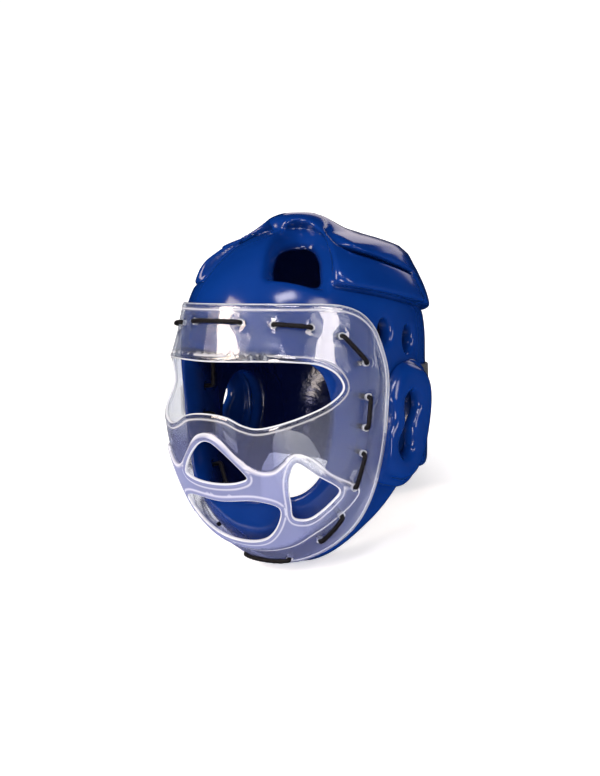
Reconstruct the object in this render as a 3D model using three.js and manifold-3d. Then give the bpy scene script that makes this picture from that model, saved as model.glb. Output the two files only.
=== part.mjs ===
// A padded head guard for sport with a clear face shield laced to it.
// Everything is drawn in the worn pose: x to the wearer's left, y to the back, z up, in millimetres,
// with z = 0 near the underside of the chin cup. The finished guard is then tipped back on to the floor,
// where it rests on the chin cup and the nape.

import * as THREE from 'three';
import { mergeVertices } from 'three/addons/utils/BufferGeometryUtils.js';
import Module from 'manifold-3d';

const wasm = await Module();
wasm.setup();

// Driving dimensions

// The outer form of the padding is three soft ellipsoids melted into each other.
const CRANIUM = { centre: [0, 6, 168], half: [91.5, 105, 97], power: [1.8, 2.15, 2.5] };
const JAW = { centre: [0, -5, 125], half: [89.5, 98, 127], power: [2.45, 1.8, 1.8] };
const NAPE = { centre: [0, 42, 95], half: [82, 56, 110], power: [2.4, 2.4, 2.4] };
const FORM_BLEND = 10;
const FORM_HEART = new THREE.Vector3(0, 8, 130);
const FORM_REACH = { near: 20, far: 260 };
const RAY_HALVINGS = 40;
const PADDING = 15;
const SEAT_GAP = 0.35;

// The raised crown cap ends in a ledge at the sides and back, and in a hood over each arch, set back between them.
// Towards its top the cap climbs to the hoods' crest in front, and falls to the plate behind.
const CAP_RISE = 7.5;
const HOOD = { crest: 4, fall: 8, bottom: 240, top: 264, front: -42, back: -4 };
const CAP_LEDGE = { y: -41, z: 219, slope: -0.16 };
const CAP_FRONT = [
  { x: 0, y: -34 }, { x: 4, y: -40 }, { x: 20, y: -42 }, { x: 40, y: -42 }, { x: 58, y: -43 }, { x: 72, y: -44 },
  { x: 82, y: -40 }, { x: 150, y: -25 },
];

// Behind the hoods the crown is a plate with a low roof and full shoulders, and a slit along its front and lower edges.
const PLATE_RISE = [
  { z: 205, rise: 7.5 }, { z: 228, rise: 9.5 }, { z: 240, rise: 12 }, { z: 249, rise: 10 }, { z: 256, rise: 4 },
  { z: 263, rise: 2 },
];
const PLATE_EDGE = [
  { y: 4, z: 290 }, { y: -2, z: 272 }, { y: -20, z: 260 }, { y: -25, z: 251 }, { y: -19, z: 245 }, { y: 1, z: 239 },
  { y: 42, z: 228 },
];
const PLATE_EDGE_DIVISIONS = 14;
const PLATE_LAP = 0.4;
const PLATE_BACK = [{ y: 60, z: 190 }, { y: 150, z: 190 }, { y: 150, z: 290 }];
const SLIT_HALF_WIDTH = 1.4;
const SLIT_FLOOR_RISE = 0.5;
const SLIT_INNER_X = 36;

// Each arched vent stands on the line between its two feet and leans back to its top.
const ARCH = { innerFoot: [31.5, -80, 225], outerFoot: [63.3, -51.3, 217], top: [27, -39.5, 271] };
const ARCH_DIVISIONS = 8;
// Its tunnel is a run of scaled copies of the outline, about a point part of the way up, from outside inwards.
const ARCH_CENTRE_SHARE = 0.3;
const ARCH_RINGS = [
  { depth: 30, scale: 1.12 }, { depth: 0, scale: 1 }, { depth: -16, scale: 0.66 }, { depth: -52, scale: 0.66 },
];

// The face opening in the padding, seen from the front: half of it, from the top round to the bottom.
const FACE_OPENING = [
  { x: 0, z: 167 }, { x: 48, z: 166 }, { x: 65, z: 156 }, { x: 71, z: 132 }, { x: 70, z: 105 },
  { x: 63, z: 75 }, { x: 47, z: 55 }, { x: 24, z: 49 }, { x: 0, z: 48 },
];
const FACE_OPENING_BACK = -18;

// The lower rim seen from the side, from the chin cup round the ear to the nape, and from behind.
const SIDE_RIM = [
  { y: -14, z: -30 }, { y: -12, z: -2 }, { y: -6, z: 15 }, { y: 4, z: 40 }, { y: 24, z: 62 },
  { y: 42, z: 67 }, { y: 62, z: 60 }, { y: 76, z: 44 }, { y: 82, z: 20 }, { y: 84, z: -30 },
];
const NAPE_RIM = [
  { x: 5, z: -30 }, { x: 7, z: 36 }, { x: 14, z: 47 }, { x: 26, z: 58 }, { x: 44, z: 65 }, { x: 110, z: 67 },
];
const NAPE_RIM_FRONT = 45;

// Two oval vents through each side wall.
const SIDE_VENTS = [{ y: -6, z: 183 }, { y: 24, z: 177 }];
const SIDE_VENT = { halfWidth: 7.2, halfHeight: 10.2, lean: -0.2, innerX: 50 };

// An ear pad is a wide base with a narrower, thicker pad on it, and a slot of two lobes through both.
// A cup hollows it from behind, so that the slot is only as deep as the pad's face.
const EAR = { y: 13, z: 114, lean: -0.24, power: 2.4 };
const EAR_TIERS = [
  { halfWidth: 35, halfHeight: 51, face: 93, bevel: 3 },
  { halfWidth: 29, halfHeight: 45.5, face: 103, bevel: 5 },
];
const EAR_PAD_ROOT = 62;
const EAR_INNER_X = 40;
const EAR_SHIELD_GAP = 0.6;
const EAR_CUP = { halfWidth: 21, halfHeight: 33, floor: 91 };
const EAR_NOTCH = { along: -34, up: -3, radius: 12 };
const EAR_SLOT = [
  { along: 6, up: 15 }, { along: -2.5, up: 23.5 }, { along: -11, up: 15 }, { along: -7, up: -3.5 },
  { along: -10.5, up: -20 }, { along: -2.5, up: -28 }, { along: 5.5, up: -20 }, { along: 2, up: -3.5 },
];

// The clear shield stands off the padding by a gap that changes with height.
const SHIELD_WALL = 2.6;
const SHIELD_STAND_OFF = [{ z: 4, gap: 2 }, { z: 40, gap: 5.5 }, { z: 145, gap: 6 }, { z: 190, gap: 1 }];
const SHIELD_SIDE = [
  { y: -58, z: 204 }, { y: -44, z: 202.5 }, { y: -31, z: 197 }, { y: -21, z: 186 }, { y: -16, z: 170 },
  { y: -14, z: 150 }, { y: -14, z: 85 }, { y: -16, z: 50 }, { y: -24, z: 22 }, { y: -31, z: 6 }, { y: -40, z: -30 },
];
const EYE_OPENING = [
  { x: 0, z: 162 }, { x: 60, z: 162.5 }, { x: 76, z: 160 }, { x: 84, z: 153 }, { x: 87, z: 142 }, { x: 81, z: 130 },
  { x: 66, z: 119.5 }, { x: 44, z: 112.5 }, { x: 33, z: 114.5 }, { x: 20, z: 120 }, { x: 0, z: 122 },
];
const NOSE_VENT = [
  { x: 0, z: 103 }, { x: 9, z: 100 }, { x: 28, z: 82 }, { x: 31, z: 76 }, { x: 23, z: 72 }, { x: 0, z: 69.5 },
];
const MOUTH_OPENING = [
  { x: 0, z: 57 }, { x: 34, z: 59 }, { x: 46, z: 54 }, { x: 40, z: 40 }, { x: 24, z: 27 }, { x: 0, z: 22.5 },
];
const CHEEK_VENT = [
  { x: 64, z: 89 }, { x: 72, z: 79 }, { x: 78, z: 68 }, { x: 73, z: 58 }, { x: 58, z: 44 }, { x: 51, z: 45 },
  { x: 53, z: 57 }, { x: 58, z: 79 },
];
const SHIELD_CUT_BACK = -24;

// The lace passes through a hole at each row, on both sides, starting at the middle of the brow.
const LACE_RADIUS = 1.6;
const LACE_SIDES = 5;
const LACE_STITCH_PARTS = 3;
const LACE_CORNER = 1.1;
const LACE_LIFT = LACE_RADIUS + 0.5;
const LACE_INSIDE_SPARE = 0.6;
const LACE_HOLE_SPARE = 12;
const SHIELD_HOLE_RADIUS = 2.9;
const PADDING_HOLE_RADIUS = 2.5;
const LACE_HOLES = [
  { x: 22, y: -93, z: 190 }, { x: 47, y: -88, z: 192 }, { x: 70, y: -71, z: 191 }, { x: 84, y: -51, z: 184 },
  { x: 91, y: -34, z: 162 }, { x: 94, y: -34, z: 136 }, { x: 94, y: -36, z: 111 }, { x: 92, y: -36, z: 90 },
  { x: 85, y: -38, z: 62 }, { x: 70, y: -37, z: 43 }, { x: 50, y: -38, z: 28 }, { x: 22, y: -38, z: 8 },
];

// The rear strap lies on the padding and runs under both ear pads.
const STRAP = { bottom: 122, top: 160, thickness: 1.8, end: 38 };
const STRAP_ROOM_FLOOR = -4;

// The guard tips back about x until the chin cup and the nape both reach the floor line.
const REST_PITCH = THREE.MathUtils.degToRad(20);
const FLOOR_POINT = { y: -17, z: -1 };

// How finely each surface of the form is divided: steps along one edge of the ball it is pushed out from.
const DETAIL = { padding: 8, hollow: 6, cap: 7, plate: 6, slitFloor: 5, shield: 7, strap: 8, earSeat: 8 };
// Points round each outline, the power of a plain oval, and steps in a rounded edge.
const DIVISIONS = {
  faceOpening: 36, eyeOpening: 38, noseVent: 26, mouthOpening: 26, cheekVent: 22, sideRim: 16, napeRim: 10,
  sideVent: 14, earCup: 20, earSlot: 24, earTier: 24, earNotch: 14,
};
const ROUND = 2;
const BEVEL_STEPS = 2;
const WIDE = 150;

// The head form

function ellipsoidDistance(point, form) {
  // Signed distance to a soft-cornered ellipsoid, from its fill (1 on the surface) and the fill's slope.
  const { centre, half, power } = form;
  const share = point.toArray().map((value, axis) => Math.abs(value - centre[axis]) / half[axis]);
  const fill = share.reduce((total, value, axis) => total + value ** power[axis], 0);
  const slope = share.map((value, axis) => (power[axis] * value ** (power[axis] - 1)) / half[axis]);
  const root = Math.sqrt(fill);
  return (2 * root * (root - 1)) / Math.hypot(...slope);
}

function softUnion(first, second) {
  const share = THREE.MathUtils.clamp(0.5 + (0.5 * (second - first)) / FORM_BLEND, 0, 1);
  return second + (first - second) * share - FORM_BLEND * share * (1 - share);
}

function headDistance(point) {
  const skull = softUnion(ellipsoidDistance(point, CRANIUM), ellipsoidDistance(point, JAW));
  return softUnion(skull, ellipsoidDistance(point, NAPE));
}

function alongRay(origin, direction, offsetAt, near, far) {
  // The point on a ray where the head form's distance equals the wanted offset, by halving.
  const point = new THREE.Vector3();
  let low = near;
  let high = far;
  for (let turn = 0; turn < RAY_HALVINGS; turn += 1) {
    const middle = (low + high) / 2;
    point.copy(origin).addScaledVector(direction, middle);
    if (headDistance(point) < offsetAt(point)) low = middle;
    else high = middle;
  }
  return point;
}

function headSurface(detail, offsetAt) {
  // A ball of even triangles, each corner pushed out along its ray to the form.
  const ball = barePositions(new THREE.IcosahedronGeometry(1, detail));
  const corners = ball.attributes.position;
  const direction = new THREE.Vector3();
  for (let index = 0; index < corners.count; index += 1) {
    direction.fromBufferAttribute(corners, index).normalize();
    const point = alongRay(FORM_HEART, direction, offsetAt, FORM_REACH.near, FORM_REACH.far);
    corners.setXYZ(index, point.x, point.y, point.z);
  }
  return toSolid(ball);
}

function outwardAt(point) {
  const step = 0.5;
  const slope = ['x', 'y', 'z'].map((axis) => {
    const ahead = point.clone();
    const behind = point.clone();
    ahead[axis] += step;
    behind[axis] -= step;
    return headDistance(ahead) - headDistance(behind);
  });
  return new THREE.Vector3(...slope).normalize();
}

// Joining and cutting

function barePositions(geometry) {
  geometry.deleteAttribute('normal');
  geometry.deleteAttribute('uv');
  return mergeVertices(geometry, 1e-4);
}

function toSolid(geometry) {
  const bare = barePositions(geometry);
  return new wasm.Manifold(new wasm.Mesh({
    numProp: 3,
    vertProperties: new Float32Array(bare.attributes.position.array),
    triVerts: new Uint32Array(bare.index.array),
  }));
}

function toMesh(name, solid, material) {
  const { vertProperties, triVerts } = solid.getMesh();
  const geometry = new THREE.BufferGeometry();
  geometry.setAttribute('position', new THREE.BufferAttribute(vertProperties, 3));
  geometry.setIndex(new THREE.BufferAttribute(triVerts, 1));
  geometry.computeVertexNormals();
  const mesh = new THREE.Mesh(geometry, material);
  mesh.name = name;
  return mesh;
}

// Outlines carried along an axis

const ALONG_X = new THREE.Matrix4().makeBasis(
  new THREE.Vector3(0, 1, 0), new THREE.Vector3(0, 0, 1), new THREE.Vector3(1, 0, 0),
);
const ALONG_FRONT = new THREE.Matrix4().makeBasis(
  new THREE.Vector3(1, 0, 0), new THREE.Vector3(0, 0, 1), new THREE.Vector3(0, -1, 0),
);

function smoothShape(points, divisions) {
  const route = new THREE.CatmullRomCurve3(points.map(([a, b]) => new THREE.Vector3(a, b, 0)), true, 'centripetal');
  return new THREE.Shape(route.getPoints(divisions).slice(0, -1).map(({ x, y }) => new THREE.Vector2(x, y)));
}

function polygonShape(points) {
  return new THREE.Shape(points.map(([a, b]) => new THREE.Vector2(a, b)));
}

function ovalShape(halfWidth, halfHeight, power, divisions) {
  const points = Array.from({ length: divisions }, (_, index) => {
    const turn = (2 * Math.PI * index) / divisions;
    const across = Math.sign(Math.cos(turn)) * Math.abs(Math.cos(turn)) ** (2 / power);
    const up = Math.sign(Math.sin(turn)) * Math.abs(Math.sin(turn)) ** (2 / power);
    return [halfWidth * across, halfHeight * up];
  });
  return polygonShape(points);
}

function prism(shape, depth, matrix, bevel = 0) {
  const options = { depth, bevelEnabled: bevel > 0, steps: 1 };
  if (bevel > 0) {
    Object.assign(options, { bevelThickness: bevel, bevelSize: bevel, bevelOffset: -bevel, bevelSegments: BEVEL_STEPS });
  }
  return toSolid(new THREE.ExtrudeGeometry(shape, options).applyMatrix4(matrix));
}

function mirrored(solid) {
  const { numProp, vertProperties, triVerts } = solid.getMesh();
  const geometry = new THREE.BufferGeometry();
  const flipped = vertProperties.map((value, index) => (index % numProp === 0 ? -value : value));
  const turned = triVerts.map((_, index) => triVerts[index - (index % 3) + (2 - (index % 3))]);
  geometry.setAttribute('position', new THREE.BufferAttribute(flipped, numProp));
  geometry.setIndex(new THREE.BufferAttribute(turned, 1));
  return toSolid(geometry);
}

function bothSides(solid) {
  return solid.add(mirrored(solid));
}

function sidePrism(shape, fromX, toX, centre = { y: 0, z: 0, lean: 0 }, bevel = 0) {
  // An outline drawn in the side view, turned by its lean, from one x to another.
  const turn = new THREE.Matrix4().makeRotationX(centre.lean ?? 0);
  const place = new THREE.Matrix4().makeTranslation(fromX, centre.y, centre.z);
  return prism(shape, toX - fromX, place.multiply(turn).multiply(ALONG_X), bevel);
}

function frontPrism(shape, backY, depth) {
  return prism(shape, depth, new THREE.Matrix4().makeTranslation(0, backY, 0).multiply(ALONG_FRONT));
}

function mirroredOutline(rows, divisions) {
  // A closed outline from its left half: the rows down one side and back up the other.
  const left = rows.map(({ x, z }) => [x, z]);
  const right = rows.slice(1, -1).reverse().map(({ x, z }) => [-x, z]);
  return smoothShape([...left, ...right], divisions);
}

// Shell

function archCutter() {
  const innerFoot = new THREE.Vector3(...ARCH.innerFoot);
  const outerFoot = new THREE.Vector3(...ARCH.outerFoot);
  const top = new THREE.Vector3(...ARCH.top);
  const middle = innerFoot.clone().lerp(outerFoot, 0.5);
  const across = outerFoot.clone().sub(innerFoot).normalize();
  const out = across.clone().cross(top.clone().sub(middle)).normalize();
  const up = out.clone().cross(across);
  const halfWidth = innerFoot.distanceTo(outerFoot) / 2;
  const height = top.clone().sub(middle).dot(up);
  const shape = new THREE.Shape();
  shape.moveTo(-halfWidth, 0);
  shape.lineTo(halfWidth, 0);
  shape.lineTo(halfWidth, height - halfWidth);
  shape.absarc(0, height - halfWidth, halfWidth, 0, Math.PI);
  const outline = shape.getPoints(ARCH_DIVISIONS);
  const frame = new THREE.Matrix4().makeBasis(across, up, out).setPosition(middle);
  const centre = new THREE.Vector2(0, height * ARCH_CENTRE_SHARE);
  return toSolid(ringedSolid(outline, ARCH_RINGS, centre).applyMatrix4(frame));
}

function ringedSolid(outline, rings, centre) {
  // A closed solid through copies of one outline, from the front ring to the last one.
  const points = outline.slice();
  if (points[0].distanceTo(points.at(-1)) < 1e-6) points.pop();
  const count = points.length;
  const corners = rings.flatMap(({ depth, scale }) => points.flatMap((point) => [
    centre.x + (point.x - centre.x) * scale, centre.y + (point.y - centre.y) * scale, depth,
  ]));
  const faces = [];
  for (let ring = 0; ring + 1 < rings.length; ring += 1) {
    for (let index = 0; index < count; index += 1) {
      const next = (index + 1) % count;
      const [a, b] = [ring * count + index, ring * count + next];
      const [c, d] = [a + count, b + count];
      faces.push(a, c, b, b, c, d);
    }
  }
  const lid = THREE.ShapeUtils.triangulateShape(points, []);
  const last = (rings.length - 1) * count;
  lid.forEach(([a, b, c]) => faces.push(a, b, c, last + a, last + c, last + b));
  const geometry = new THREE.BufferGeometry();
  geometry.setAttribute('position', new THREE.Float32BufferAttribute(corners, 3));
  geometry.setIndex(faces);
  return geometry;
}

function crownCap() {
  const ledgeAt = (y) => CAP_LEDGE.z + CAP_LEDGE.slope * (y - CAP_LEDGE.y);
  const above = polygonShape([
    [-WIDE, ledgeAt(-WIDE)], [WIDE, ledgeAt(WIDE)], [WIDE, 2 * WIDE], [-WIDE, 2 * WIDE],
  ]);
  const brow = CAP_FRONT.map(({ x, y }) => [x, y]);
  const browLeft = brow.slice(1).reverse().map(([x, y]) => [-x, y]);
  const behind = polygonShape([...browLeft, ...brow, [WIDE, WIDE], [-WIDE, WIDE]]);
  const back = PLATE_BACK.map(({ y, z }) => [y, z]);
  const plateRegion = sidePrism(polygonShape([...plateEdge(), ...back]), -WIDE, WIDE);
  const hoods = headSurface(DETAIL.cap, hoodRise)
    .intersect(prism(behind, 2 * WIDE, new THREE.Matrix4()))
    .subtract(plateRegion);
  const plate = headSurface(DETAIL.plate, (point) => riseAt(PLATE_RISE, point.z))
    .intersect(plateRegion.translate([0, -PLATE_LAP, -PLATE_LAP]));
  return hoods.add(plate).intersect(sidePrism(above, -WIDE, WIDE));
}

function hoodRise({ y, z }) {
  const climb = THREE.MathUtils.clamp((z - HOOD.bottom) / (HOOD.top - HOOD.bottom), 0, 1);
  const backwards = THREE.MathUtils.clamp((y - HOOD.front) / (HOOD.back - HOOD.front), 0, 1);
  return CAP_RISE + climb * (HOOD.crest - HOOD.fall * backwards);
}

function riseAt(rows, z) {
  // The rise at a height, straight from each row to the next and level beyond the ends.
  const next = rows.findIndex((row) => row.z > z);
  if (next === 0) return rows[0].rise;
  if (next < 0) return rows.at(-1).rise;
  const [low, high] = [rows[next - 1], rows[next]];
  return low.rise + (high.rise - low.rise) * (z - low.z) / (high.z - low.z);
}

function plateEdge() {
  return roundedRun(PLATE_EDGE.map(({ y, z }) => [y, z]), PLATE_EDGE_DIVISIONS);
}

function lowerRimCutter() {
  const side = SIDE_RIM.map(({ y, z }) => [y, z]);
  const fromSide = sidePrism(polygonShape(roundedRun(side, DIVISIONS.sideRim)), -WIDE, WIDE);
  const behind = NAPE_RIM.map(({ x, z }) => [x, z]);
  const wing = polygonShape([...roundedRun(behind, DIVISIONS.napeRim), [WIDE, behind.at(-1)[1]], [WIDE, behind[0][1]]]);
  const fromBehind = bothSides(frontPrism(wing, WIDE, WIDE - NAPE_RIM_FRONT));
  return fromSide.add(fromBehind);
}

function roundedRun(points, divisions) {
  const run = new THREE.SplineCurve(points.map(([a, b]) => new THREE.Vector2(a, b)));
  return run.getPoints(divisions).map(({ x, y }) => [x, y]);
}

function slitCutter() {
  const middle = plateEdge().map(([y, z]) => new THREE.Vector2(y, z));
  const edge = (side) => middle.map((point, index) => {
    const ahead = middle[Math.min(index + 1, middle.length - 1)];
    const behind = middle[Math.max(index - 1, 0)];
    const along = ahead.clone().sub(behind).normalize();
    return [point.x - along.y * side * SLIT_HALF_WIDTH, point.y + along.x * side * SLIT_HALF_WIDTH];
  });
  const ribbon = polygonShape([...edge(-1), ...edge(1).reverse()]);
  const deep = headSurface(DETAIL.slitFloor, () => SLIT_FLOOR_RISE);
  return bothSides(sidePrism(ribbon, SLIT_INNER_X, WIDE)).subtract(deep);
}

function sideVentCutter() {
  const oval = ovalShape(SIDE_VENT.halfWidth, SIDE_VENT.halfHeight, ROUND, DIVISIONS.sideVent);
  const vents = SIDE_VENTS.map(({ y, z }) => sidePrism(oval, SIDE_VENT.innerX, WIDE, { y, z, lean: SIDE_VENT.lean }));
  return bothSides(vents.reduce((all, vent) => all.add(vent)));
}

function earCupCutter() {
  const oval = ovalShape(EAR_CUP.halfWidth, EAR_CUP.halfHeight, ROUND, DIVISIONS.earCup);
  return sidePrism(oval, EAR_INNER_X, EAR_CUP.floor, EAR);
}

function earSlotCutter() {
  return sidePrism(smoothShape(EAR_SLOT.map(({ along, up }) => [along, up]), DIVISIONS.earSlot), EAR_INNER_X, WIDE, EAR);
}

function floorCutter() {
  const below = new THREE.BoxGeometry(2 * WIDE, 3 * WIDE, WIDE);
  const place = new THREE.Matrix4().makeTranslation(0, FLOOR_POINT.y, FLOOR_POINT.z);
  const tip = new THREE.Matrix4().makeRotationX(REST_PITCH);
  const down = new THREE.Matrix4().makeTranslation(0, 0, -WIDE / 2);
  return toSolid(below.applyMatrix4(place.multiply(tip).multiply(down)));
}

function makeShell() {
  const faceCut = frontPrism(mirroredOutline(FACE_OPENING, DIVISIONS.faceOpening), FACE_OPENING_BACK, WIDE);
  const cutters = [
    headSurface(DETAIL.hollow, () => -PADDING),
    faceCut,
    lowerRimCutter(),
    bothSides(archCutter()),
    slitCutter(),
    sideVentCutter(),
    bothSides(earCupCutter()),
    laceHoleCutter(PADDING_HOLE_RADIUS),
    floorCutter(),
  ];
  const body = headSurface(DETAIL.padding, () => 0).add(crownCap());
  return cutters.reduce((solid, cutter) => solid.subtract(cutter), body);
}

// Face shield

function shieldGapAt({ z }) {
  const rows = SHIELD_STAND_OFF;
  if (z <= rows[0].z) return rows[0].gap;
  const upper = rows.findIndex((row) => row.z >= z);
  if (upper < 0) return rows.at(-1).gap;
  const [from, to] = [rows[upper - 1], rows[upper]];
  const share = THREE.MathUtils.smoothstep(z, from.z, to.z);
  return from.gap + (to.gap - from.gap) * share;
}

function shieldRegion(spare) {
  const rear = SHIELD_SIDE.map(({ y, z }) => [y + spare, z]);
  const front = [[-WIDE, rear.at(-1)[1]], [-WIDE, rear[0][1]]];
  return sidePrism(polygonShape([...rear, ...front]), -WIDE, WIDE);
}

function makeShield() {
  const outer = headSurface(DETAIL.shield, (point) => shieldGapAt(point) + SHIELD_WALL);
  const inner = headSurface(DETAIL.shield, shieldGapAt);
  const cheek = smoothShape(CHEEK_VENT.map(({ x, z }) => [x, z]), DIVISIONS.cheekVent);
  const cutters = [
    inner,
    frontPrism(mirroredOutline(EYE_OPENING, DIVISIONS.eyeOpening), SHIELD_CUT_BACK, WIDE),
    frontPrism(mirroredOutline(NOSE_VENT, DIVISIONS.noseVent), SHIELD_CUT_BACK, WIDE),
    frontPrism(mirroredOutline(MOUTH_OPENING, DIVISIONS.mouthOpening), SHIELD_CUT_BACK, WIDE),
    bothSides(frontPrism(cheek, SHIELD_CUT_BACK, WIDE)),
    laceHoleCutter(SHIELD_HOLE_RADIUS),
  ];
  return cutters.reduce((solid, cutter) => solid.subtract(cutter), outer.intersect(shieldRegion(0)));
}

// Lace

function overShield(point) {
  return shieldGapAt(point) + SHIELD_WALL + LACE_LIFT;
}

function insidePadding() {
  return -PADDING - LACE_LIFT - LACE_INSIDE_SPARE;
}

function laceHole(row) {
  // A hole runs along the form's outward direction: its ends lie just outside the shield and inside the padding.
  const rough = new THREE.Vector3(row.x, row.y, row.z);
  const ray = rough.clone().sub(FORM_HEART).normalize();
  const seat = alongRay(FORM_HEART, ray, () => 0, FORM_REACH.near, FORM_REACH.far);
  const out = outwardAt(seat);
  const outside = alongRay(seat, out, overShield, -2 * PADDING, 2 * PADDING);
  const inside = alongRay(seat, out, insidePadding, -2 * PADDING, 2 * PADDING);
  return { outside, inside, out };
}

function laceHoleCutter(radius) {
  const holes = LACE_HOLES.map((row) => {
    const { outside, inside, out } = laceHole(row);
    const length = outside.distanceTo(inside) + LACE_HOLE_SPARE;
    const rod = new THREE.CylinderGeometry(radius, radius, length, LACE_SIDES);
    const turn = new THREE.Quaternion().setFromUnitVectors(new THREE.Vector3(0, 1, 0), out);
    const middle = outside.clone().lerp(inside, 0.5);
    return toSolid(rod.applyQuaternion(turn).translate(middle.x, middle.y, middle.z));
  });
  return bothSides(holes.reduce((all, hole) => all.add(hole)));
}

function stitchPoints(from, to, offsetAt, parts) {
  // Points of a stitch that follows the form between two holes at a given height.
  return Array.from({ length: parts - 1 }, (_, index) => {
    const chord = from.clone().lerp(to, (index + 1) / parts);
    return alongRay(chord, outwardAt(chord), offsetAt, -PADDING, PADDING);
  });
}

class LaceRoute extends THREE.Curve {
  // A route whose rings fall exactly on its listed points.
  constructor(points) {
    super();
    this.points = points;
  }

  getPoint(share, target = new THREE.Vector3()) {
    const place = share * (this.points.length - 1);
    const index = Math.min(Math.floor(place), this.points.length - 2);
    return target.copy(this.points[index]).lerp(this.points[index + 1], place - index);
  }

  getPointAt(share, target) {
    return this.getPoint(share, target);
  }

  getTangentAt(share, target = new THREE.Vector3()) {
    const step = 0.5 / (this.points.length - 1);
    const ahead = this.getPoint(Math.min(share + step, 1));
    return target.copy(ahead).sub(this.getPoint(Math.max(share - step, 0))).normalize();
  }
}

function makeLace() {
  const left = LACE_HOLES.map(laceHole);
  const right = left.map(({ outside, inside, out }) => ({
    outside: outside.clone().setX(-outside.x), inside: inside.clone().setX(-inside.x), out: out.clone().setX(-out.x),
  }));
  const loop = [...left.slice(1), ...right.reverse(), left[0]];
  const route = [];
  loop.forEach((hole, index) => {
    const before = loop[(index + loop.length - 1) % loop.length];
    const after = loop[(index + 1) % loop.length];
    const outsideFirst = index % 2 === 1;
    const enter = outsideFirst ? hole.outside : hole.inside;
    const leave = outsideFirst ? hole.inside : hole.outside;
    const cameFrom = outsideFirst ? before.outside : before.inside;
    const goesTo = outsideFirst ? after.inside : after.outside;
    if (index > 0) {
      route.push(...stitchPoints(cameFrom, enter, outsideFirst ? overShield : insidePadding, LACE_STITCH_PARTS));
    }
    const arrive = cameFrom.clone().sub(enter).setLength(LACE_CORNER).add(enter);
    const dive = leave.clone().sub(enter).setLength(LACE_CORNER).add(enter);
    const rise = enter.clone().sub(leave).setLength(LACE_CORNER).add(leave);
    const depart = goesTo.clone().sub(leave).setLength(LACE_CORNER).add(leave);
    if (index > 0) route.push(arrive);
    route.push(dive, rise);
    if (index < loop.length - 1) route.push(depart);
  });
  const section = ovalShape(LACE_RADIUS, LACE_RADIUS, ROUND, LACE_SIDES);
  const options = { steps: route.length - 1, extrudePath: new LaceRoute(route), bevelEnabled: false };
  return toSolid(new THREE.ExtrudeGeometry(section, options));
}

// Ear pads and rear strap

function strapBand(lowest, highest, spare) {
  const band = polygonShape([
    [STRAP.end - spare, STRAP.bottom - spare], [WIDE, STRAP.bottom - spare],
    [WIDE, STRAP.top + spare], [STRAP.end - spare, STRAP.top + spare],
  ]);
  const region = sidePrism(band, -WIDE, WIDE);
  return headSurface(DETAIL.strap, () => highest).subtract(headSurface(DETAIL.strap, () => lowest)).intersect(region);
}

function makeEarPad() {
  const tiers = EAR_TIERS.map(({ halfWidth, halfHeight, face, bevel }) => {
    const oval = ovalShape(halfWidth, halfHeight, EAR.power, DIVISIONS.earTier);
    return sidePrism(oval, EAR_PAD_ROOT, face - bevel, EAR, bevel);
  });
  const notch = ovalShape(EAR_NOTCH.radius, EAR_NOTCH.radius, ROUND, DIVISIONS.earNotch);
  const turned = new THREE.Vector2(EAR_NOTCH.along, EAR_NOTCH.up).rotateAround(new THREE.Vector2(), EAR.lean);
  const place = { y: EAR.y + turned.x, z: EAR.z + turned.y, lean: 0 };
  const top = tiers[1].subtract(sidePrism(notch, EAR_INNER_X, WIDE, place));
  const underShield = headSurface(DETAIL.shield, (point) => shieldGapAt(point) - EAR_SHIELD_GAP);
  return tiers[0].add(top)
    .subtract(shieldRegion(EAR_SHIELD_GAP).subtract(underShield))
    .subtract(headSurface(DETAIL.earSeat, () => SEAT_GAP))
    .subtract(strapBand(STRAP_ROOM_FLOOR, STRAP.thickness + 2 * SEAT_GAP, SEAT_GAP))
    .subtract(earCupCutter())
    .subtract(earSlotCutter());
}

// Materials and the finished group

const dippedVinyl = new THREE.MeshStandardMaterial({ color: 0x173f9c, roughness: 0.2 });
const clearPlastic = new THREE.MeshStandardMaterial({ color: 0xe8eef4, roughness: 0.05 });
const blackCord = new THREE.MeshStandardMaterial({ color: 0x2a2528, roughness: 0.7 });
const blackElastic = new THREE.MeshStandardMaterial({ color: 0x17171b, roughness: 0.85 });

const earPad = makeEarPad();
const guard = new THREE.Group();
guard.add(
  toMesh('shell', makeShell(), dippedVinyl),
  toMesh('ear_pad_left', earPad, dippedVinyl),
  toMesh('ear_pad_right', mirrored(earPad), dippedVinyl),
  toMesh('face_shield', makeShield(), clearPlastic),
  toMesh('lace', makeLace(), blackCord),
  toMesh('rear_strap', strapBand(SEAT_GAP, STRAP.thickness + SEAT_GAP, 0), blackElastic),
);

// Tip the guard back on to the floor, then centre it on the origin.
guard.rotation.x = -REST_PITCH;
guard.updateMatrixWorld(true);
const box = new THREE.Box3().setFromObject(guard, true);
guard.position.set(0, -(box.min.y + box.max.y) / 2, -box.min.z);

const part = new THREE.Group();
part.add(guard);

export default part;
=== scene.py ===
import math

import bpy
import numpy as np
from mathutils import Matrix, Vector
from mathutils.geometry import delaunay_2d_cdt


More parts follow.
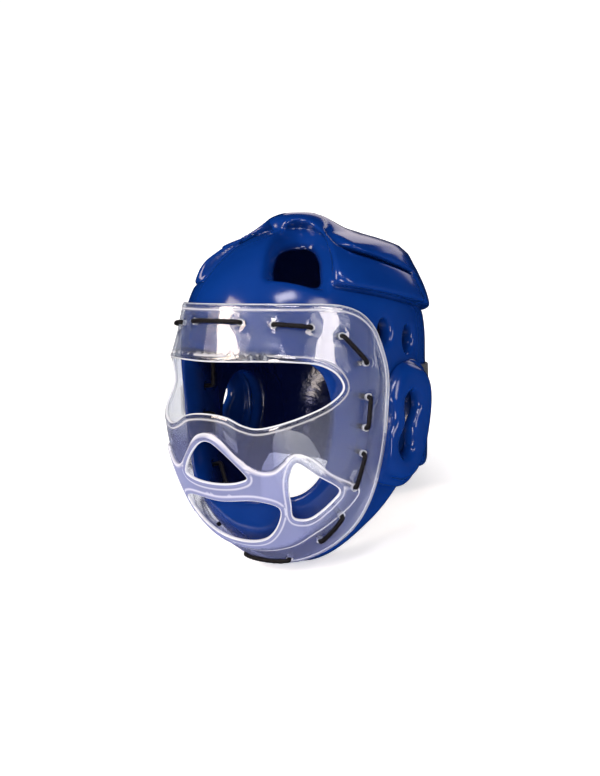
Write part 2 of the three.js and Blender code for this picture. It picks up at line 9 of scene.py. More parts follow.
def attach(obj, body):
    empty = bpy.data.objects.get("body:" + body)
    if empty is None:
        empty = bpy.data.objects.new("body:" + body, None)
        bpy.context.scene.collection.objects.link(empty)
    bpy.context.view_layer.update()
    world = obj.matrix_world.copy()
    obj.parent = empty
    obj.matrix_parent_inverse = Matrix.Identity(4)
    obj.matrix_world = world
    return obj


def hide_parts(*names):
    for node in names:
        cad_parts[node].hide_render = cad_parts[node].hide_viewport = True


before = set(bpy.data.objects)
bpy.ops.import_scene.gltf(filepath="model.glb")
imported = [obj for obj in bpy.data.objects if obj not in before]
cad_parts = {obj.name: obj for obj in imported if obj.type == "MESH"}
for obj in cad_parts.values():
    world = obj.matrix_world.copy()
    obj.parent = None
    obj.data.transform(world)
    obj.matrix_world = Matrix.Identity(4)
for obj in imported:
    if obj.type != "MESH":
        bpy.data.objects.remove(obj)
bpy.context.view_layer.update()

# Padded shell
# The real piece is one block of foam, cut out for the head and face and then dipped in blue vinyl.
# The skin rounds every cut edge, so the shape is drawn as a field of distances and its zero level is meshed.
# Everything is drawn as worn, in millimetres: x to the wearer's left, y to the back, z up.

CRANIUM = {"centre": (0, 6, 168), "half": (91.5, 105, 97), "power": (1.8, 2.15, 2.5)}
JAW = {"centre": (0, -5, 125), "half": (89.5, 98, 127), "power": (2.45, 1.8, 1.8)}
NAPE = {"centre": (0, 42, 95), "half": (82, 56, 110), "power": (2.4, 2.4, 2.4)}
FORM_BLEND = 10.0
FORM_HEART = np.array([0.0, 8.0, 130.0])
FORM_REACH = (20.0, 260.0)
PADDING = 15.0
CREST_SOFTENING = 5.0
CREST_FADE = 20.0

CAP_RISE = ((238, 7.5), (255, 5.0))
CROWN = {"y": -2.0, "rise": 11.0, "inner": 10.0, "outer": 42.0}
CAP_LEDGE = {"y": -41, "z": 219, "slope": -0.16}
CAP_FRONT = ((0, -27), (12, -28), (24, -33), (40, -40), (58, -42), (72, -43), (82, -40), (150, -25))
LEDGE_GROOVE = {"drop": 1.9, "half": 1.5, "depth": 2.4}
PLATE_RISE = ((205, 7.5), (225, 8.5), (235, 9.8), (243, 11.8), (250, 11.5), (255, 7.5), (259, 4), (263, 3))
PLATE_EDGE = ((16, 280), (6, 271), (-2, 266), (-12, 259.5), (-18.5, 253), (-20.5, 249), (-17, 245), (1, 239),
              (42, 228))
PLATE_BACK = ((60, 190), (150, 190), (150, 290))
SLIT_HALF_WIDTH = 1.0
SLIT_FLOOR_RISE = 1.0
SLIT_INNER_X = 34.0

ARCH_INNER_FOOT = np.array([31.5, -80.0, 225.0])
ARCH_OUTER_FOOT = np.array([63.3, -51.3, 217.0])
ARCH_TOP = np.array([27.0, -39.5, 271.0])
ARCH_RIM = ((-21, -1), (-22.5, 15), (-21, 37), (-16, 54), (-10, 66), (-2, 70), (7, 68.5), (14.5, 60.5),
            (21.5, 46), (26.5, 28), (28.5, 11), (26.5, -3.5), (6, -2.5), (-8, -1))
ARCH_HOLE = ((-11.5, 6), (-13, 28), (-9, 40), (0, 46.5), (10.5, 47.5), (17, 35), (19.5, 20), (20, 7),
             (4, 5.5))
ARCH_HOLE_DEPTH = 13.0
ARCH_BACK = 30.0
ARCH_BOTTOM = 195.0

FACE_OPENING = ((0, 167), (48, 166), (67, 156), (73.5, 132), (72.5, 105), (64, 76), (50, 61), (24, 57),
                (0, 56))
FACE_OPENING_BACK = -18.0
SIDE_RIM = ((-9, -30), (-8, 2), (-2, 14), (6, 25), (14, 36), (21, 47), (28, 58), (37, 68), (49, 72),
            (63, 66), (76, 48), (82, 20), (84, -30))
NAPE_RIM = ((5, -30), (7, 36), (14, 47), (26, 59), (44, 68), (110, 74))
NAPE_RIM_FRONT = 45.0
BEYOND = 150.0
SIDE_VENTS = ((-6, 183), (24, 177))
SIDE_VENT_HALF = (7.2, 10.2)
SIDE_VENT_LEAN = -0.2
SIDE_VENT_INNER_X = 50.0
EAR_CENTRE = (13.0, 114.0)
EAR_LEAN = -0.24
EAR_CUP_HALF = (21.0, 33.0)
EAR_CUP_INNER_X = 40.0
PADDING_HOLE_RADIUS = 2.6
PADDING_HOLE_REACH = 8.0

# At rest the worn guard is pitched back and stands on its chin and the tip of its nape.
REST_PITCH = math.radians(20)
REST_SHIFT = np.array([0.0, -54.582, -4.875])
FLOOR_POINT = (-17.0, -1.0)

SHELL_CELL = 1.6
SHELL_LOW = (-97.6, -104.0, -8.0)
SHELL_HIGH = (97.6, 122.0, 282.0)

EASE_TURNS = 3
RAY_HALVINGS = 40
SLOPE_MM = 0.5

SKIN_ROUND = {"brow": 6.0, "plate": 4.0, "ledge": 4.0, "seam": 2.0, "joint": 1.0, "inside": 7.0, "rim": 9.0,
              "arch": 4.0, "vent": 5.0, "ear": 4.0, "lace hole": 3.0, "floor": 2.0}
SWELLS = (
    {"height": 0.25, "ways": "xy", "lengths": (13.0, 17.0), "starts": (0.7, 1.3)},
    {"height": 0.2, "ways": "yz", "lengths": (11.0, 15.0), "starts": (0.0, 0.4)},
)

# Painted shade: the darker navy given to the vinyl inside the guard, fading in with depth below the head
# form.
VINYL_INSIDE_SHADE = "#060f38"
INSIDE_FADE = {"from": 8.0, "over": 6.0}
BLOTCH_MM = 36.0
PEEL_MM = 4.2
WRINKLE_MM = 14.3

# The two colours and the result of a colour mix, which share their names with other sockets.
MIX_A, MIX_B, MIX_OUT = 6, 7, 2


def pitched(points):
    """Points turned back by the rest pitch: y' = y cos p + z sin p, z' = z cos p - y sin p."""
    c, s = math.cos(REST_PITCH), math.sin(REST_PITCH)
    x, y, z = np.moveaxis(np.asarray(points, float), -1, 0)
    return np.stack([x, y * c + z * s, z * c - y * s], -1)


def rest_pose(points):
    """Worn millimetres to resting metres: pitched back, then shifted on to the floor."""
    return (pitched(points) + REST_SHIFT) / 1000


def unit(rows):
    """Vectors scaled to length 1."""
    return rows / np.linalg.norm(rows, axis=-1, keepdims=True)


def smooth_step(value):
    """A step with flat ends: 3 s^2 - 2 s^3, with s the value kept within 0 and 1."""
    share = np.clip(value, 0, 1)
    return share * share * (3 - 2 * share)


def along_table(value, rows):
    """A table's second column at values of its first, with straight lines between the rows."""
    return np.interp(value, *np.array(rows, float).T)


def form_distance(x, y, z, form):
    """Distance to sum((|p - c| / h) ^ n) = 1, taken as 2 r (r - 1) / |slope| with r the root of that sum."""
    fill, steep = 0.0, 0.0
    for value, centre, half, power in zip((x, y, z), form["centre"], form["half"], form["power"]):
        away = np.abs(value - centre)
        if power < 2:
            away = np.sqrt(away ** 2 + CREST_SOFTENING ** 2) - CREST_SOFTENING * np.exp(-away / CREST_FADE)
        share = np.maximum(away / half, 1e-6)
        fill = fill + share ** power
        steep = steep + (power * share ** (power - 1) / half) ** 2
    root = np.sqrt(fill)
    return 2 * root * (root - 1) / np.sqrt(steep)


def form_union(first, second):
    """Soft lower envelope of two distances, as the CAD blends its forms."""
    share = np.clip(0.5 + 0.5 * (second - first) / FORM_BLEND, 0, 1)
    return second + (first - second) * share - FORM_BLEND * share * (1 - share)


def head_distance(x, y, z):
    """Distance to the head form that every piece of the guard follows."""
    skull = form_union(form_distance(x, y, z, CRANIUM), form_distance(x, y, z, JAW))
    return form_union(skull, form_distance(x, y, z, NAPE))


def soft_max(first, second, round_mm):
    """The greater of two distances, with the edge between them rounded: max + h^2 k / 4."""
    share = np.maximum(round_mm - np.abs(first - second), 0) / round_mm
    return np.maximum(first, second) + share * share * round_mm / 4


def soft_min(first, second, round_mm):
    """The lesser of two distances with the corner filled."""
    return -soft_max(-first, -second, round_mm)


def smooth_run(points, steps, closed=False):
    """Points of a centripetal Catmull-Rom curve through the rows, with a number of steps in each span."""
    rows = np.asarray(points, float)
    if closed:
        rows = np.concatenate([rows[-1:], rows, rows[:2]])
    else:
        rows = np.concatenate([2 * rows[:1] - rows[1:2], rows, 2 * rows[-1:] - rows[-2:-1]])
    found = []
    for p0, p1, p2, p3 in zip(rows, rows[1:], rows[2:], rows[3:]):
        knots = np.cumsum([0] + [np.linalg.norm(b - a) ** 0.5 for a, b in ((p0, p1), (p1, p2), (p2, p3))])
        t0, t1, t2, t3 = knots
        t = np.linspace(t1, t2, steps, endpoint=False)[:, None]
        a1 = (t1 - t) / (t1 - t0) * p0 + (t - t0) / (t1 - t0) * p1
        a2 = (t2 - t) / (t2 - t1) * p1 + (t - t1) / (t2 - t1) * p2
        a3 = (t3 - t) / (t3 - t2) * p2 + (t - t2) / (t3 - t2) * p3
        b1 = (t2 - t) / (t2 - t0) * a1 + (t - t0) / (t2 - t0) * a2
        b2 = (t3 - t) / (t3 - t1) * a2 + (t - t1) / (t3 - t1) * a3
        found.append((t2 - t) / (t2 - t1) * b1 + (t - t1) / (t2 - t1) * b2)
    if not closed:
        found.append(rows[-2:-1])
    return np.concatenate(found)


def both_halves(rows):
    """A closed outline from its left half: down one side and up the other."""
    return list(rows) + [(-x, z) for x, z in rows[-2:0:-1]]


def line_distance(a, b, points, closed):
    """Unsigned distance from (a, b) to a run of straight pieces."""
    nearest = np.inf
    rows = np.asarray(points, float)
    ends = np.roll(rows, -1, 0) if closed else rows[1:]
    for (ax, ay), (bx, by) in zip(rows, ends):
        ex, ey = bx - ax, by - ay
        share = np.clip(((a - ax) * ex + (b - ay) * ey) / (ex * ex + ey * ey + 1e-12), 0, 1)
        nearest = np.minimum(nearest, (a - ax - share * ex) ** 2 + (b - ay - share * ey) ** 2)
    return np.sqrt(nearest)


def outline_distance(a, b, points):
    """Signed distance from (a, b) to a closed outline, below zero inside it."""
    rows = np.asarray(points, float)
    inside = np.zeros(np.broadcast(a, b).shape, bool)
    for (ax, ay), (bx, by) in zip(rows, np.roll(rows, -1, 0)):
        if ay != by:
            inside ^= ((ay > b) != (by > b)) & (a < (bx - ax) * (b - ay) / (by - ay) + ax)
    return np.where(inside, -1, 1) * line_distance(a, b, rows, True)


def oval_distance(a, b, half, power):
    """Distance to the oval |a / h1| ^ n + |b / h2| ^ n = 1, as its value over its slope."""
    u, v = np.abs(a) / half[0] + 1e-9, np.abs(b) / half[1] + 1e-9
    value = (u ** power + v ** power) ** (1 / power)
    slope = np.hypot((u / value) ** (power - 1) / half[0], (v / value) ** (power - 1) / half[1])
    return (value - 1) / slope


def turned(a, b, angle):
    """Coordinates of (a, b) in axes turned by an angle."""
    c, s = math.cos(angle), math.sin(angle)
    return a * c + b * s, b * c - a * s


def sampled(field, place):
    """The field's value between grid points: the mean of the cell's eight corners, weighted by nearness."""
    low = np.clip(place.astype(int), 0, np.array(field.shape) - 2)
    share = place - low
    value = 0.0
    for i in (0, 1):
        for j in (0, 1):
            for k in (0, 1):
                weight = np.abs(np.array([1 - i, 1 - j, 1 - k]) - share).prod(1)
                value = value + weight * field[low[:, 0] + i, low[:, 1] + j, low[:, 2] + k]
    return value


def change_along(value_at, points, step):
    """Change of a value along each axis, from a step behind each point to a step ahead of it."""
    change = np.empty_like(points)
    for axis in range(3):
        shift = np.zeros(3)
        shift[axis] = step
        change[:, axis] = value_at(points + shift) - value_at(points - shift)
    return change


def level_mesh(field):
    """Corners, quads and normals of the zero level: a corner in each crossed cell, a quad round each edge.

    A corner is the mean of its cell's edge crossings. It is then eased towards its neighbours and put back
    on the level.
    """
    inside = field < 0
    last_x, last_y, last_z = (size - 1 for size in inside.shape)
    count = sum(inside[i:last_x + i, j:last_y + j, k:last_z + k].astype(np.int8)
                for i in (0, 1) for j in (0, 1) for k in (0, 1))
    cells = np.argwhere((count > 0) & (count < 8))
    number = np.full(count.shape, -1, np.int32)
    number[tuple(cells.T)] = np.arange(len(cells))
    steps = np.array([(i, j, k) for i in (0, 1) for j in (0, 1) for k in (0, 1)])
    values = np.stack([field[tuple((cells + step).T)] for step in steps], 1)
    total, hits = np.zeros((len(cells), 3)), np.zeros(len(cells))
    for a in range(8):
        for b in range(a + 1, 8):
            if np.abs(steps[a] - steps[b]).sum() != 1:
                continue
            crossed = (values[:, a] < 0) != (values[:, b] < 0)
            share = np.where(crossed, values[:, a] / np.where(crossed, values[:, a] - values[:, b], 1), 0)
            total += np.where(crossed[:, None], steps[a] + (steps[b] - steps[a]) * share[:, None], 0)
            hits += crossed
    place = cells + total / hits[:, None]
    quads = []
    for axis in range(3):
        one, two = (axis + 1) % 3, (axis + 2) % 3
        ahead = np.take(inside, range(1, inside.shape[axis]), axis)
        behind = np.take(inside, range(inside.shape[axis] - 1), axis)
        edges = np.argwhere(ahead != behind)
        limit = np.array(count.shape)
        pair = edges[:, [one, two]]
        edges = edges[((pair > 0) & (pair < limit[[one, two]])).all(1)]
        ring = []
        for back_one, back_two in ((1, 1), (0, 1), (0, 0), (1, 0)):
            cell = edges.copy()
            cell[:, one] -= back_one
            cell[:, two] -= back_two
            ring.append(number[tuple(cell.T)])
        ring = np.stack(ring, 1)
        outward = behind[tuple(edges.T)]
        quads.append(np.where(outward[:, None], ring, ring[:, ::-1]))
    quads = np.concatenate(quads)
    ends = np.concatenate([quads[:, [0, 1]], quads[:, [1, 2]], quads[:, [2, 3]], quads[:, [3, 0]]])
    degree = np.bincount(ends.ravel(), minlength=len(place))[:, None]
    for turn in range(EASE_TURNS):
        mean = np.zeros_like(place)
        for axis in range(3):
            mean[:, axis] = np.bincount(ends[:, 0], place[ends[:, 1], axis], len(place))
            mean[:, axis] += np.bincount(ends[:, 1], place[ends[:, 0], axis], len(place))
        place = place + 0.5 * (mean / degree - place)
        slope = change_along(lambda p: sampled(field, p), place, 0.5)
        place -= sampled(field, place)[:, None] * slope / (slope ** 2).sum(1, keepdims=True)
    return place, quads, unit(change_along(lambda p: sampled(field, p), place, 1.0))


def scene_object(name, data):
    """A new object that holds the data, linked into the scene."""
    piece = bpy.data.objects.new(name, data)
    bpy.context.scene.collection.objects.link(piece)
    return piece


def mesh_object(name, points, faces, normals=None):
    """A smooth-shaded object in the rest pose, from worn points in millimetres and arrays of faces."""
    mesh = bpy.data.meshes.new(name)
    corners = np.concatenate([np.asarray(f, np.int32).ravel() for f in faces])
    sizes = np.concatenate([np.full(len(f), np.shape(f)[1], np.int32) for f in faces])
    mesh.vertices.add(len(points))
    mesh.vertices.foreach_set("co", rest_pose(points).astype(np.float32).ravel())
    mesh.loops.add(len(corners))
    mesh.loops.foreach_set("vertex_index", corners)
    mesh.polygons.add(len(sizes))
    mesh.polygons.foreach_set("loop_start", np.concatenate([[0], np.cumsum(sizes)[:-1]]).astype(np.int32))
    mesh.polygons.foreach_set("use_smooth", np.ones(len(sizes), bool))
    mesh.update(calc_edges=True)
    if normals is not None:
        mesh.normals_split_custom_set_from_vertices(pitched(normals).tolist())
    return scene_object(name, mesh)


def add_attribute(piece, name, values):
    """Keeps a value for each point of a piece, for its material to read."""
    layer = piece.data.attributes.new(name, "FLOAT", "POINT")
    layer.data.foreach_set("value", values.astype(np.float32).ravel())


def linear(hex_colour):
    """An sRGB hex colour as linear RGBA."""
    parts = [int(hex_colour[i:i + 2], 16) / 255 for i in (1, 3, 5)]
    return tuple(p / 12.92 if p <= 0.04045 else ((p + 0.055) / 1.055) ** 2.4 for p in parts) + (1.0,)


def add_node(tree, kind, inputs=None, **settings):
    """Adds a node, sets its properties, and links or sets its inputs by name or number."""
    node = tree.nodes.new(kind)
    for key, value in settings.items():
        setattr(node, key, value)
    for key, value in (inputs or {}).items():
        if isinstance(value, bpy.types.NodeSocket):
            tree.links.new(value, node.inputs[key])
        else:
            node.inputs[key].default_value = value
    return node


def new_material(name):
    """An empty node material, with its tree and output."""
    material = bpy.data.materials.new(name)
    material.use_nodes = True
    material.node_tree.nodes.clear()
    output = add_node(material.node_tree, "ShaderNodeOutputMaterial")
    return material, material.node_tree, output


def last_within(within, count, near, far, turns):
    """The greatest values between two limits that are still within, by halving."""
    low, high = np.full(count, float(near)), np.full(count, float(far))
    for turn in range(turns):
        middle = (low + high) / 2
        held = within(middle)
        low = np.where(held, middle, low)
        high = np.where(held, high, middle)
    return low


def alongside(origin, direction, offset_at, near, far):
    """Points on rays where the head form's distance equals the wanted offset."""
    def below(reach):
        point = origin + direction * reach[:, None]
        return head_distance(*point.T) < offset_at(point)
    return origin + direction * last_within(below, len(origin), near, far, RAY_HALVINGS)[:, None]


def outward_at(points):
    """Unit direction away from the head form."""
    return unit(change_along(lambda p: head_distance(*p.T), points, SLOPE_MM))


LACE_HOLES = np.array([
    (22, -93, 190), (47, -88, 192), (70, -71, 191), (84, -51, 184), (91, -34, 162), (94, -34, 136),
    (94, -36, 111), (92, -36, 90), (85, -38, 62), (70, -37, 43), (50, -38, 28), (22, -38, 8),
], float)
hole_rays = unit(LACE_HOLES - FORM_HEART)
hole_seats = alongside(FORM_HEART + 0 * hole_rays, hole_rays, lambda p: 0.0, *FORM_REACH)
hole_outward = outward_at(hole_seats)

grid_x = np.arange(SHELL_LOW[0], SHELL_HIGH[0] + SHELL_CELL, SHELL_CELL)[:, None, None]
grid_y = np.arange(SHELL_LOW[1], SHELL_HIGH[1] + SHELL_CELL, SHELL_CELL)[None, :, None]
grid_z = np.arange(SHELL_LOW[2], SHELL_HIGH[2] + SHELL_CELL, SHELL_CELL)[None, None, :]
side_x = np.abs(grid_x)
head = head_distance(grid_x, grid_y, grid_z)

# The dipped skin is never quite even: long shallow swells under half a millimetre high.
grid_axes = {"x": grid_x, "y": grid_y, "z": grid_z}
bare = head
for swell in SWELLS:
    parts = zip(swell["ways"], swell["lengths"], swell["starts"])
    first, second = (np.sin(grid_axes[way] / length + start) for way, length, start in parts)
    bare = bare + swell["height"] * first * second

ledge = CAP_LEDGE["z"] + CAP_LEDGE["slope"] * (grid_y - CAP_LEDGE["y"])
brow = along_table(side_x, CAP_FRONT)
plate_run = smooth_run(PLATE_EDGE, steps=6)
plate_region = outline_distance(grid_y, grid_z, np.concatenate([plate_run, np.array(PLATE_BACK, float)]))
from_crown = np.hypot(grid_x, grid_y - CROWN["y"])
crown = smooth_step((CROWN["outer"] - from_crown) / (CROWN["outer"] - CROWN["inner"]))
plate_rise = along_table(grid_z, PLATE_RISE)
plate_rise = plate_rise + (CROWN["rise"] - plate_rise) * crown
plate = soft_max(bare - plate_rise, plate_region, SKIN_ROUND["plate"])
cap_rise = along_table(grid_z, CAP_RISE)
cap_rise = cap_rise + (CROWN["rise"] - cap_rise) * crown
band = soft_max(bare - cap_rise, brow - grid_y, SKIN_ROUND["brow"])
band = soft_max(band, -plate_region, SKIN_ROUND["plate"])
cap = soft_max(soft_min(band, plate, SKIN_ROUND["seam"]), ledge - grid_z, SKIN_ROUND["ledge"])
groove = np.abs(grid_z - ledge + LEDGE_GROOVE["drop"]) - LEDGE_GROOVE["half"]
groove = np.maximum(np.maximum(groove, -LEDGE_GROOVE["depth"] - head), brow - grid_y)
outer = soft_min(soft_max(bare, -groove, SKIN_ROUND["seam"]), cap, SKIN_ROUND["joint"])
shell = soft_max(outer, -(head + PADDING), SKIN_ROUND["inside"])

face_outline = smooth_run(both_halves(FACE_OPENING), steps=5, closed=True)
face_hole = np.maximum(outline_distance(grid_x, grid_z, face_outline), grid_y - FACE_OPENING_BACK)
shell = soft_max(shell, -face_hole, SKIN_ROUND["rim"])
rim_side = outline_distance(grid_y, grid_z, smooth_run(SIDE_RIM, steps=5))
shell = soft_max(shell, -rim_side, SKIN_ROUND["rim"])
nape_run = smooth_run(NAPE_RIM, steps=4)
nape_wing = np.concatenate([nape_run, [(BEYOND, NAPE_RIM[-1][1]), (BEYOND, NAPE_RIM[0][1])]])
rim_back = np.maximum(outline_distance(side_x, grid_z, nape_wing), NAPE_RIM_FRONT - grid_y)
shell = soft_max(shell, -rim_back, SKIN_ROUND["rim"])

arch_middle = (ARCH_INNER_FOOT + ARCH_OUTER_FOOT) / 2
arch_across = unit(ARCH_OUTER_FOOT - ARCH_INNER_FOOT)
arch_out = unit(np.cross(arch_across, ARCH_TOP - arch_middle))
arch_up = np.cross(arch_out, arch_across)
from_arch = (side_x - arch_middle[0], grid_y - arch_middle[1], grid_z - arch_middle[2])
near_arch = np.ix_(np.arange(len(grid_x)), grid_y[0, :, 0] < ARCH_BACK, grid_z[0, 0, :] > ARCH_BOTTOM)
from_arch = [np.broadcast_to(part, shell.shape)[near_arch] for part in from_arch]
arch_a, arch_b = (sum(part * axis for part, axis in zip(from_arch, way)) for way in (arch_across, arch_up))
arch_rim = outline_distance(arch_a, arch_b, smooth_run(ARCH_RIM, steps=3, closed=True))
arch_hole = outline_distance(arch_a, arch_b, smooth_run(ARCH_HOLE, steps=3, closed=True))
sunk = np.clip(-head[near_arch] / ARCH_HOLE_DEPTH, 0, 1)
arch_hole = arch_rim + (arch_hole - arch_rim) * sunk
shell[near_arch] = soft_max(shell[near_arch], -arch_hole, SKIN_ROUND["arch"])

slit = line_distance(grid_y, grid_z, plate_run, False) - SLIT_HALF_WIDTH
slit = np.maximum(np.maximum(slit, SLIT_FLOOR_RISE - head), SLIT_INNER_X - side_x)
shell = soft_max(shell, -slit, SKIN_ROUND["seam"])
for vent_y, vent_z in SIDE_VENTS:
    vent_a, vent_b = turned(grid_y - vent_y, grid_z - vent_z, SIDE_VENT_LEAN)
    vent = oval_distance(vent_a, vent_b, SIDE_VENT_HALF, 2)
    shell = soft_max(shell, -np.maximum(vent, SIDE_VENT_INNER_X - side_x), SKIN_ROUND["vent"])
cup_a, cup_b = turned(grid_y - EAR_CENTRE[0], grid_z - EAR_CENTRE[1], EAR_LEAN)
cup = oval_distance(cup_a, cup_b, EAR_CUP_HALF, 2)
shell = soft_max(shell, -np.maximum(cup, EAR_CUP_INNER_X - side_x), SKIN_ROUND["ear"])
span = PADDING + PADDING_HOLE_RADIUS + PADDING_HOLE_REACH
for seat, way in zip(hole_seats, hole_outward):
    near_x = np.abs(side_x[:, 0, 0] - seat[0]) < span
    near_y = np.abs(grid_y[0, :, 0] - seat[1]) < span
    near_z = np.abs(grid_z[0, 0, :] - seat[2]) < span
    block = np.ix_(near_x, near_y, near_z)
    away = (side_x[near_x] - seat[0], grid_y[:, near_y] - seat[1], grid_z[:, :, near_z] - seat[2])
    along = sum(part * axis for part, axis in zip(away, way))
    radius = np.sqrt(np.maximum(sum(part ** 2 for part in away) - along ** 2, 0))
    hole = np.maximum(radius - PADDING_HOLE_RADIUS, np.abs(along + PADDING / 2) - PADDING)
    shell[block] = soft_max(shell[block], -hole, SKIN_ROUND["lace hole"])
floor_y, floor_z = FLOOR_POINT
floor_rise = (grid_z - floor_z) * math.cos(REST_PITCH) - (grid_y - floor_y) * math.sin(REST_PITCH)
shell = soft_max(shell, -floor_rise, SKIN_ROUND["floor"])

place, quads, normals = level_mesh(shell)
shell_points = np.array(SHELL_LOW) + place * SHELL_CELL
shell_piece = mesh_object("dipped_foam_shell", shell_points, [quads], normals)
# Depth inside the head form: the mask for the painted shade and for the creases inside.
depth = np.clip((-INSIDE_FADE["from"] - sampled(head, place)) / INSIDE_FADE["over"], 0, 1)
add_attribute(shell_piece, "inside", depth)

# Dipped vinyl: a thick glossy skin of one deep blue, with a faint orange peel and slow changes of gloss.
# Inside the guard it is creased, and painted shade turns its blue to a darker navy.
vinyl, tree, output = new_material("dipped vinyl")
at = add_node(tree, "ShaderNodeTexCoord").outputs["Object"]
broad = add_node(tree, "ShaderNodeTexNoise", {"Vector": at, "Scale": 1000 / BLOTCH_MM, "Detail": 3.0})
fine = add_node(tree, "ShaderNodeTexNoise", {"Vector": at, "Scale": 1000 / PEEL_MM, "Detail": 2.0})
wrinkle = add_node(tree, "ShaderNodeTexNoise", {
    "Vector": at, "Scale": 1000 / WRINKLE_MM, "Detail": 4.0, "Distortion": 0.8})
inner = add_node(tree, "ShaderNodeAttribute", attribute_name="inside").outputs["Fac"]
outer_tone = add_node(tree, "ShaderNodeMix", {
    "Factor": broad.outputs["Fac"], MIX_A: linear("#06286a"), MIX_B: linear("#093480")}, data_type="RGBA")
# Painted shade: the blue turns to the darker navy inside the guard.
painted_shade_tone = add_node(tree, "ShaderNodeMix", {
    "Factor": inner, MIX_A: outer_tone.outputs[MIX_OUT], MIX_B: linear(VINYL_INSIDE_SHADE)}, data_type="RGBA")
gloss = add_node(tree, "ShaderNodeMapRange", {"Value": broad.outputs["Fac"], "To Min": 0.10, "To Max": 0.2})
peel = add_node(tree, "ShaderNodeBump", {
    "Height": fine.outputs["Fac"], "Strength": 0.05, "Distance": 0.0006})
crease = add_node(tree, "ShaderNodeBump", {
    "Height": wrinkle.outputs["Fac"], "Strength": inner, "Distance": 0.001,
    "Normal": peel.outputs["Normal"]})
skin = add_node(tree, "ShaderNodeBsdfPrincipled", {
    "Base Color": painted_shade_tone.outputs[MIX_OUT], "Roughness": gloss.outputs[0], "IOR": 1.52,
    "Normal": crease.outputs["Normal"]})
tree.links.new(skin.outputs[0], output.inputs[0])
shell_piece.data.materials.append(vinyl)
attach(shell_piece, "root")
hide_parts("shell")

# Ear pads
# Each is a thick oval block of the same dipped foam in two tiers, with a notch in front and a slot of
# two lobes through to the ear. It is glued to the side of the shell.

EAR_POWER = 2.7
EAR_TIERS = ({"half": (35.0, 51.0), "face": 93.0, "round": 5.0},
             {"half": (29.0, 45.5), "face": 103.0, "round": 12.0})
EAR_DOME = {"fall": 2.0, "limit": 1.2, "crown": 0.8}
EAR_ROUND = {"notch": 8.0, "step": 2.0, "seat": 1.0, "shield": 2.0, "slot": 8.0, "cup": 3.0, "strap": 1.0}
EAR_CUP_FLOOR = 91.0
EAR_NOTCH = {"along": -34.0, "up": -3.0, "radius": 12.0}
EAR_SLOT = ((6, 15), (-2.5, 23.5), (-11, 15), (-7, -3.5), (-10.5, -20), (-2.5, -28), (5.5, -20), (2, -3.5))
EAR_SEAT_GAP = 0.35
EAR_SHIELD_GAP = 0.6
EAR_CELL = 1.0
EAR_LOW = (72.0, -36.0, 56.0)
EAR_HIGH = (108.0, 64.0, 172.0)
MIRROR = np.array([-1.0, 1.0, 1.0])
STRAP = {"bottom": 122.0, "top": 156.0, "thickness": 1.8, "end": 38.0, "gap": 0.35}
SHIELD_WALL = 2.6
SHIELD_STAND_OFF = ((4, 2), (40, 5.5), (145, 6), (190, 1))
SHIELD_SIDE = ((-58, 204), (-44, 202.5), (-31, 197), (-21, 186), (-16, 170), (-14, 150), (-14, 85),
               (-16, 50), (-24, 22), (-31, 6), (-40, -30))


def shield_gap(z):
    """Gap between padding and shield at a height: smoothstep between the rows of the table."""
    heights, gaps = np.array(SHIELD_STAND_OFF, float).T
    row = np.clip(np.searchsorted(heights, z) - 1, 0, len(heights) - 2)
    share = smooth_step((z - heights[row]) / (heights[row + 1] - heights[row]))
    return gaps[row] + (gaps[row + 1] - gaps[row]) * share


shield_rear = smooth_run(SHIELD_SIDE, steps=6)
shield_outline = np.concatenate([shield_rear, [(-BEYOND, SHIELD_SIDE[-1][1]), (-BEYOND, SHIELD_SIDE[0][1])]])

ear_x = np.arange(EAR_LOW[0], EAR_HIGH[0], EAR_CELL)[:, None, None]
ear_y = np.arange(EAR_LOW[1], EAR_HIGH[1], EAR_CELL)[None, :, None]
ear_z = np.arange(EAR_LOW[2], EAR_HIGH[2], EAR_CELL)[None, None, :]
ear_head = head_distance(ear_x, ear_y, ear_z)
ear_a, ear_b = turned(ear_y - EAR_CENTRE[0], ear_z - EAR_CENTRE[1], EAR_LEAN)
tiers = []
for tier in EAR_TIERS:
    oval = oval_distance(ear_a, ear_b, tier["half"], EAR_POWER)
    from_middle = np.hypot(ear_a / tier["half"][0], ear_b / tier["half"][1])
    dome = EAR_DOME["fall"] * np.minimum(from_middle, EAR_DOME["limit"]) ** 2 - EAR_DOME["crown"]
    tiers.append(soft_max(oval, ear_x - tier["face"] + dome, tier["round"]))
notch = np.hypot(ear_a - EAR_NOTCH["along"], ear_b - EAR_NOTCH["up"]) - EAR_NOTCH["radius"]
tiers[1] = soft_max(tiers[1], -notch, EAR_ROUND["notch"])
pad = soft_min(tiers[0], tiers[1], EAR_ROUND["step"])
pad = soft_max(pad, EAR_SEAT_GAP - ear_head, EAR_ROUND["seat"])
in_region = outline_distance(ear_y, ear_z, shield_outline) - EAR_SHIELD_GAP
shield_room = np.maximum(in_region, shield_gap(ear_z) - EAR_SHIELD_GAP - ear_head)
pad = soft_max(pad, -shield_room, EAR_ROUND["shield"])
slot = outline_distance(ear_a, ear_b, smooth_run(EAR_SLOT, steps=5, closed=True))
pad = soft_max(pad, -slot, EAR_ROUND["slot"])
cup = oval_distance(ear_a, ear_b, EAR_CUP_HALF, 2)
pad = soft_max(pad, -np.maximum(cup, ear_x - EAR_CUP_FLOOR), EAR_ROUND["cup"])
strap_level = (STRAP["bottom"] + STRAP["top"]) / 2
strap_half = (STRAP["top"] - STRAP["bottom"]) / 2
strap_room = np.maximum(np.abs(ear_z - strap_level) - strap_half, STRAP["end"] - ear_y)
strap_room = np.maximum(strap_room - STRAP["gap"], ear_head - STRAP["thickness"] - 2 * STRAP["gap"])
pad = soft_max(pad, -strap_room, EAR_ROUND["strap"])
place, quads, normals = level_mesh(pad)
ear_points = np.array(EAR_LOW) + place * EAR_CELL
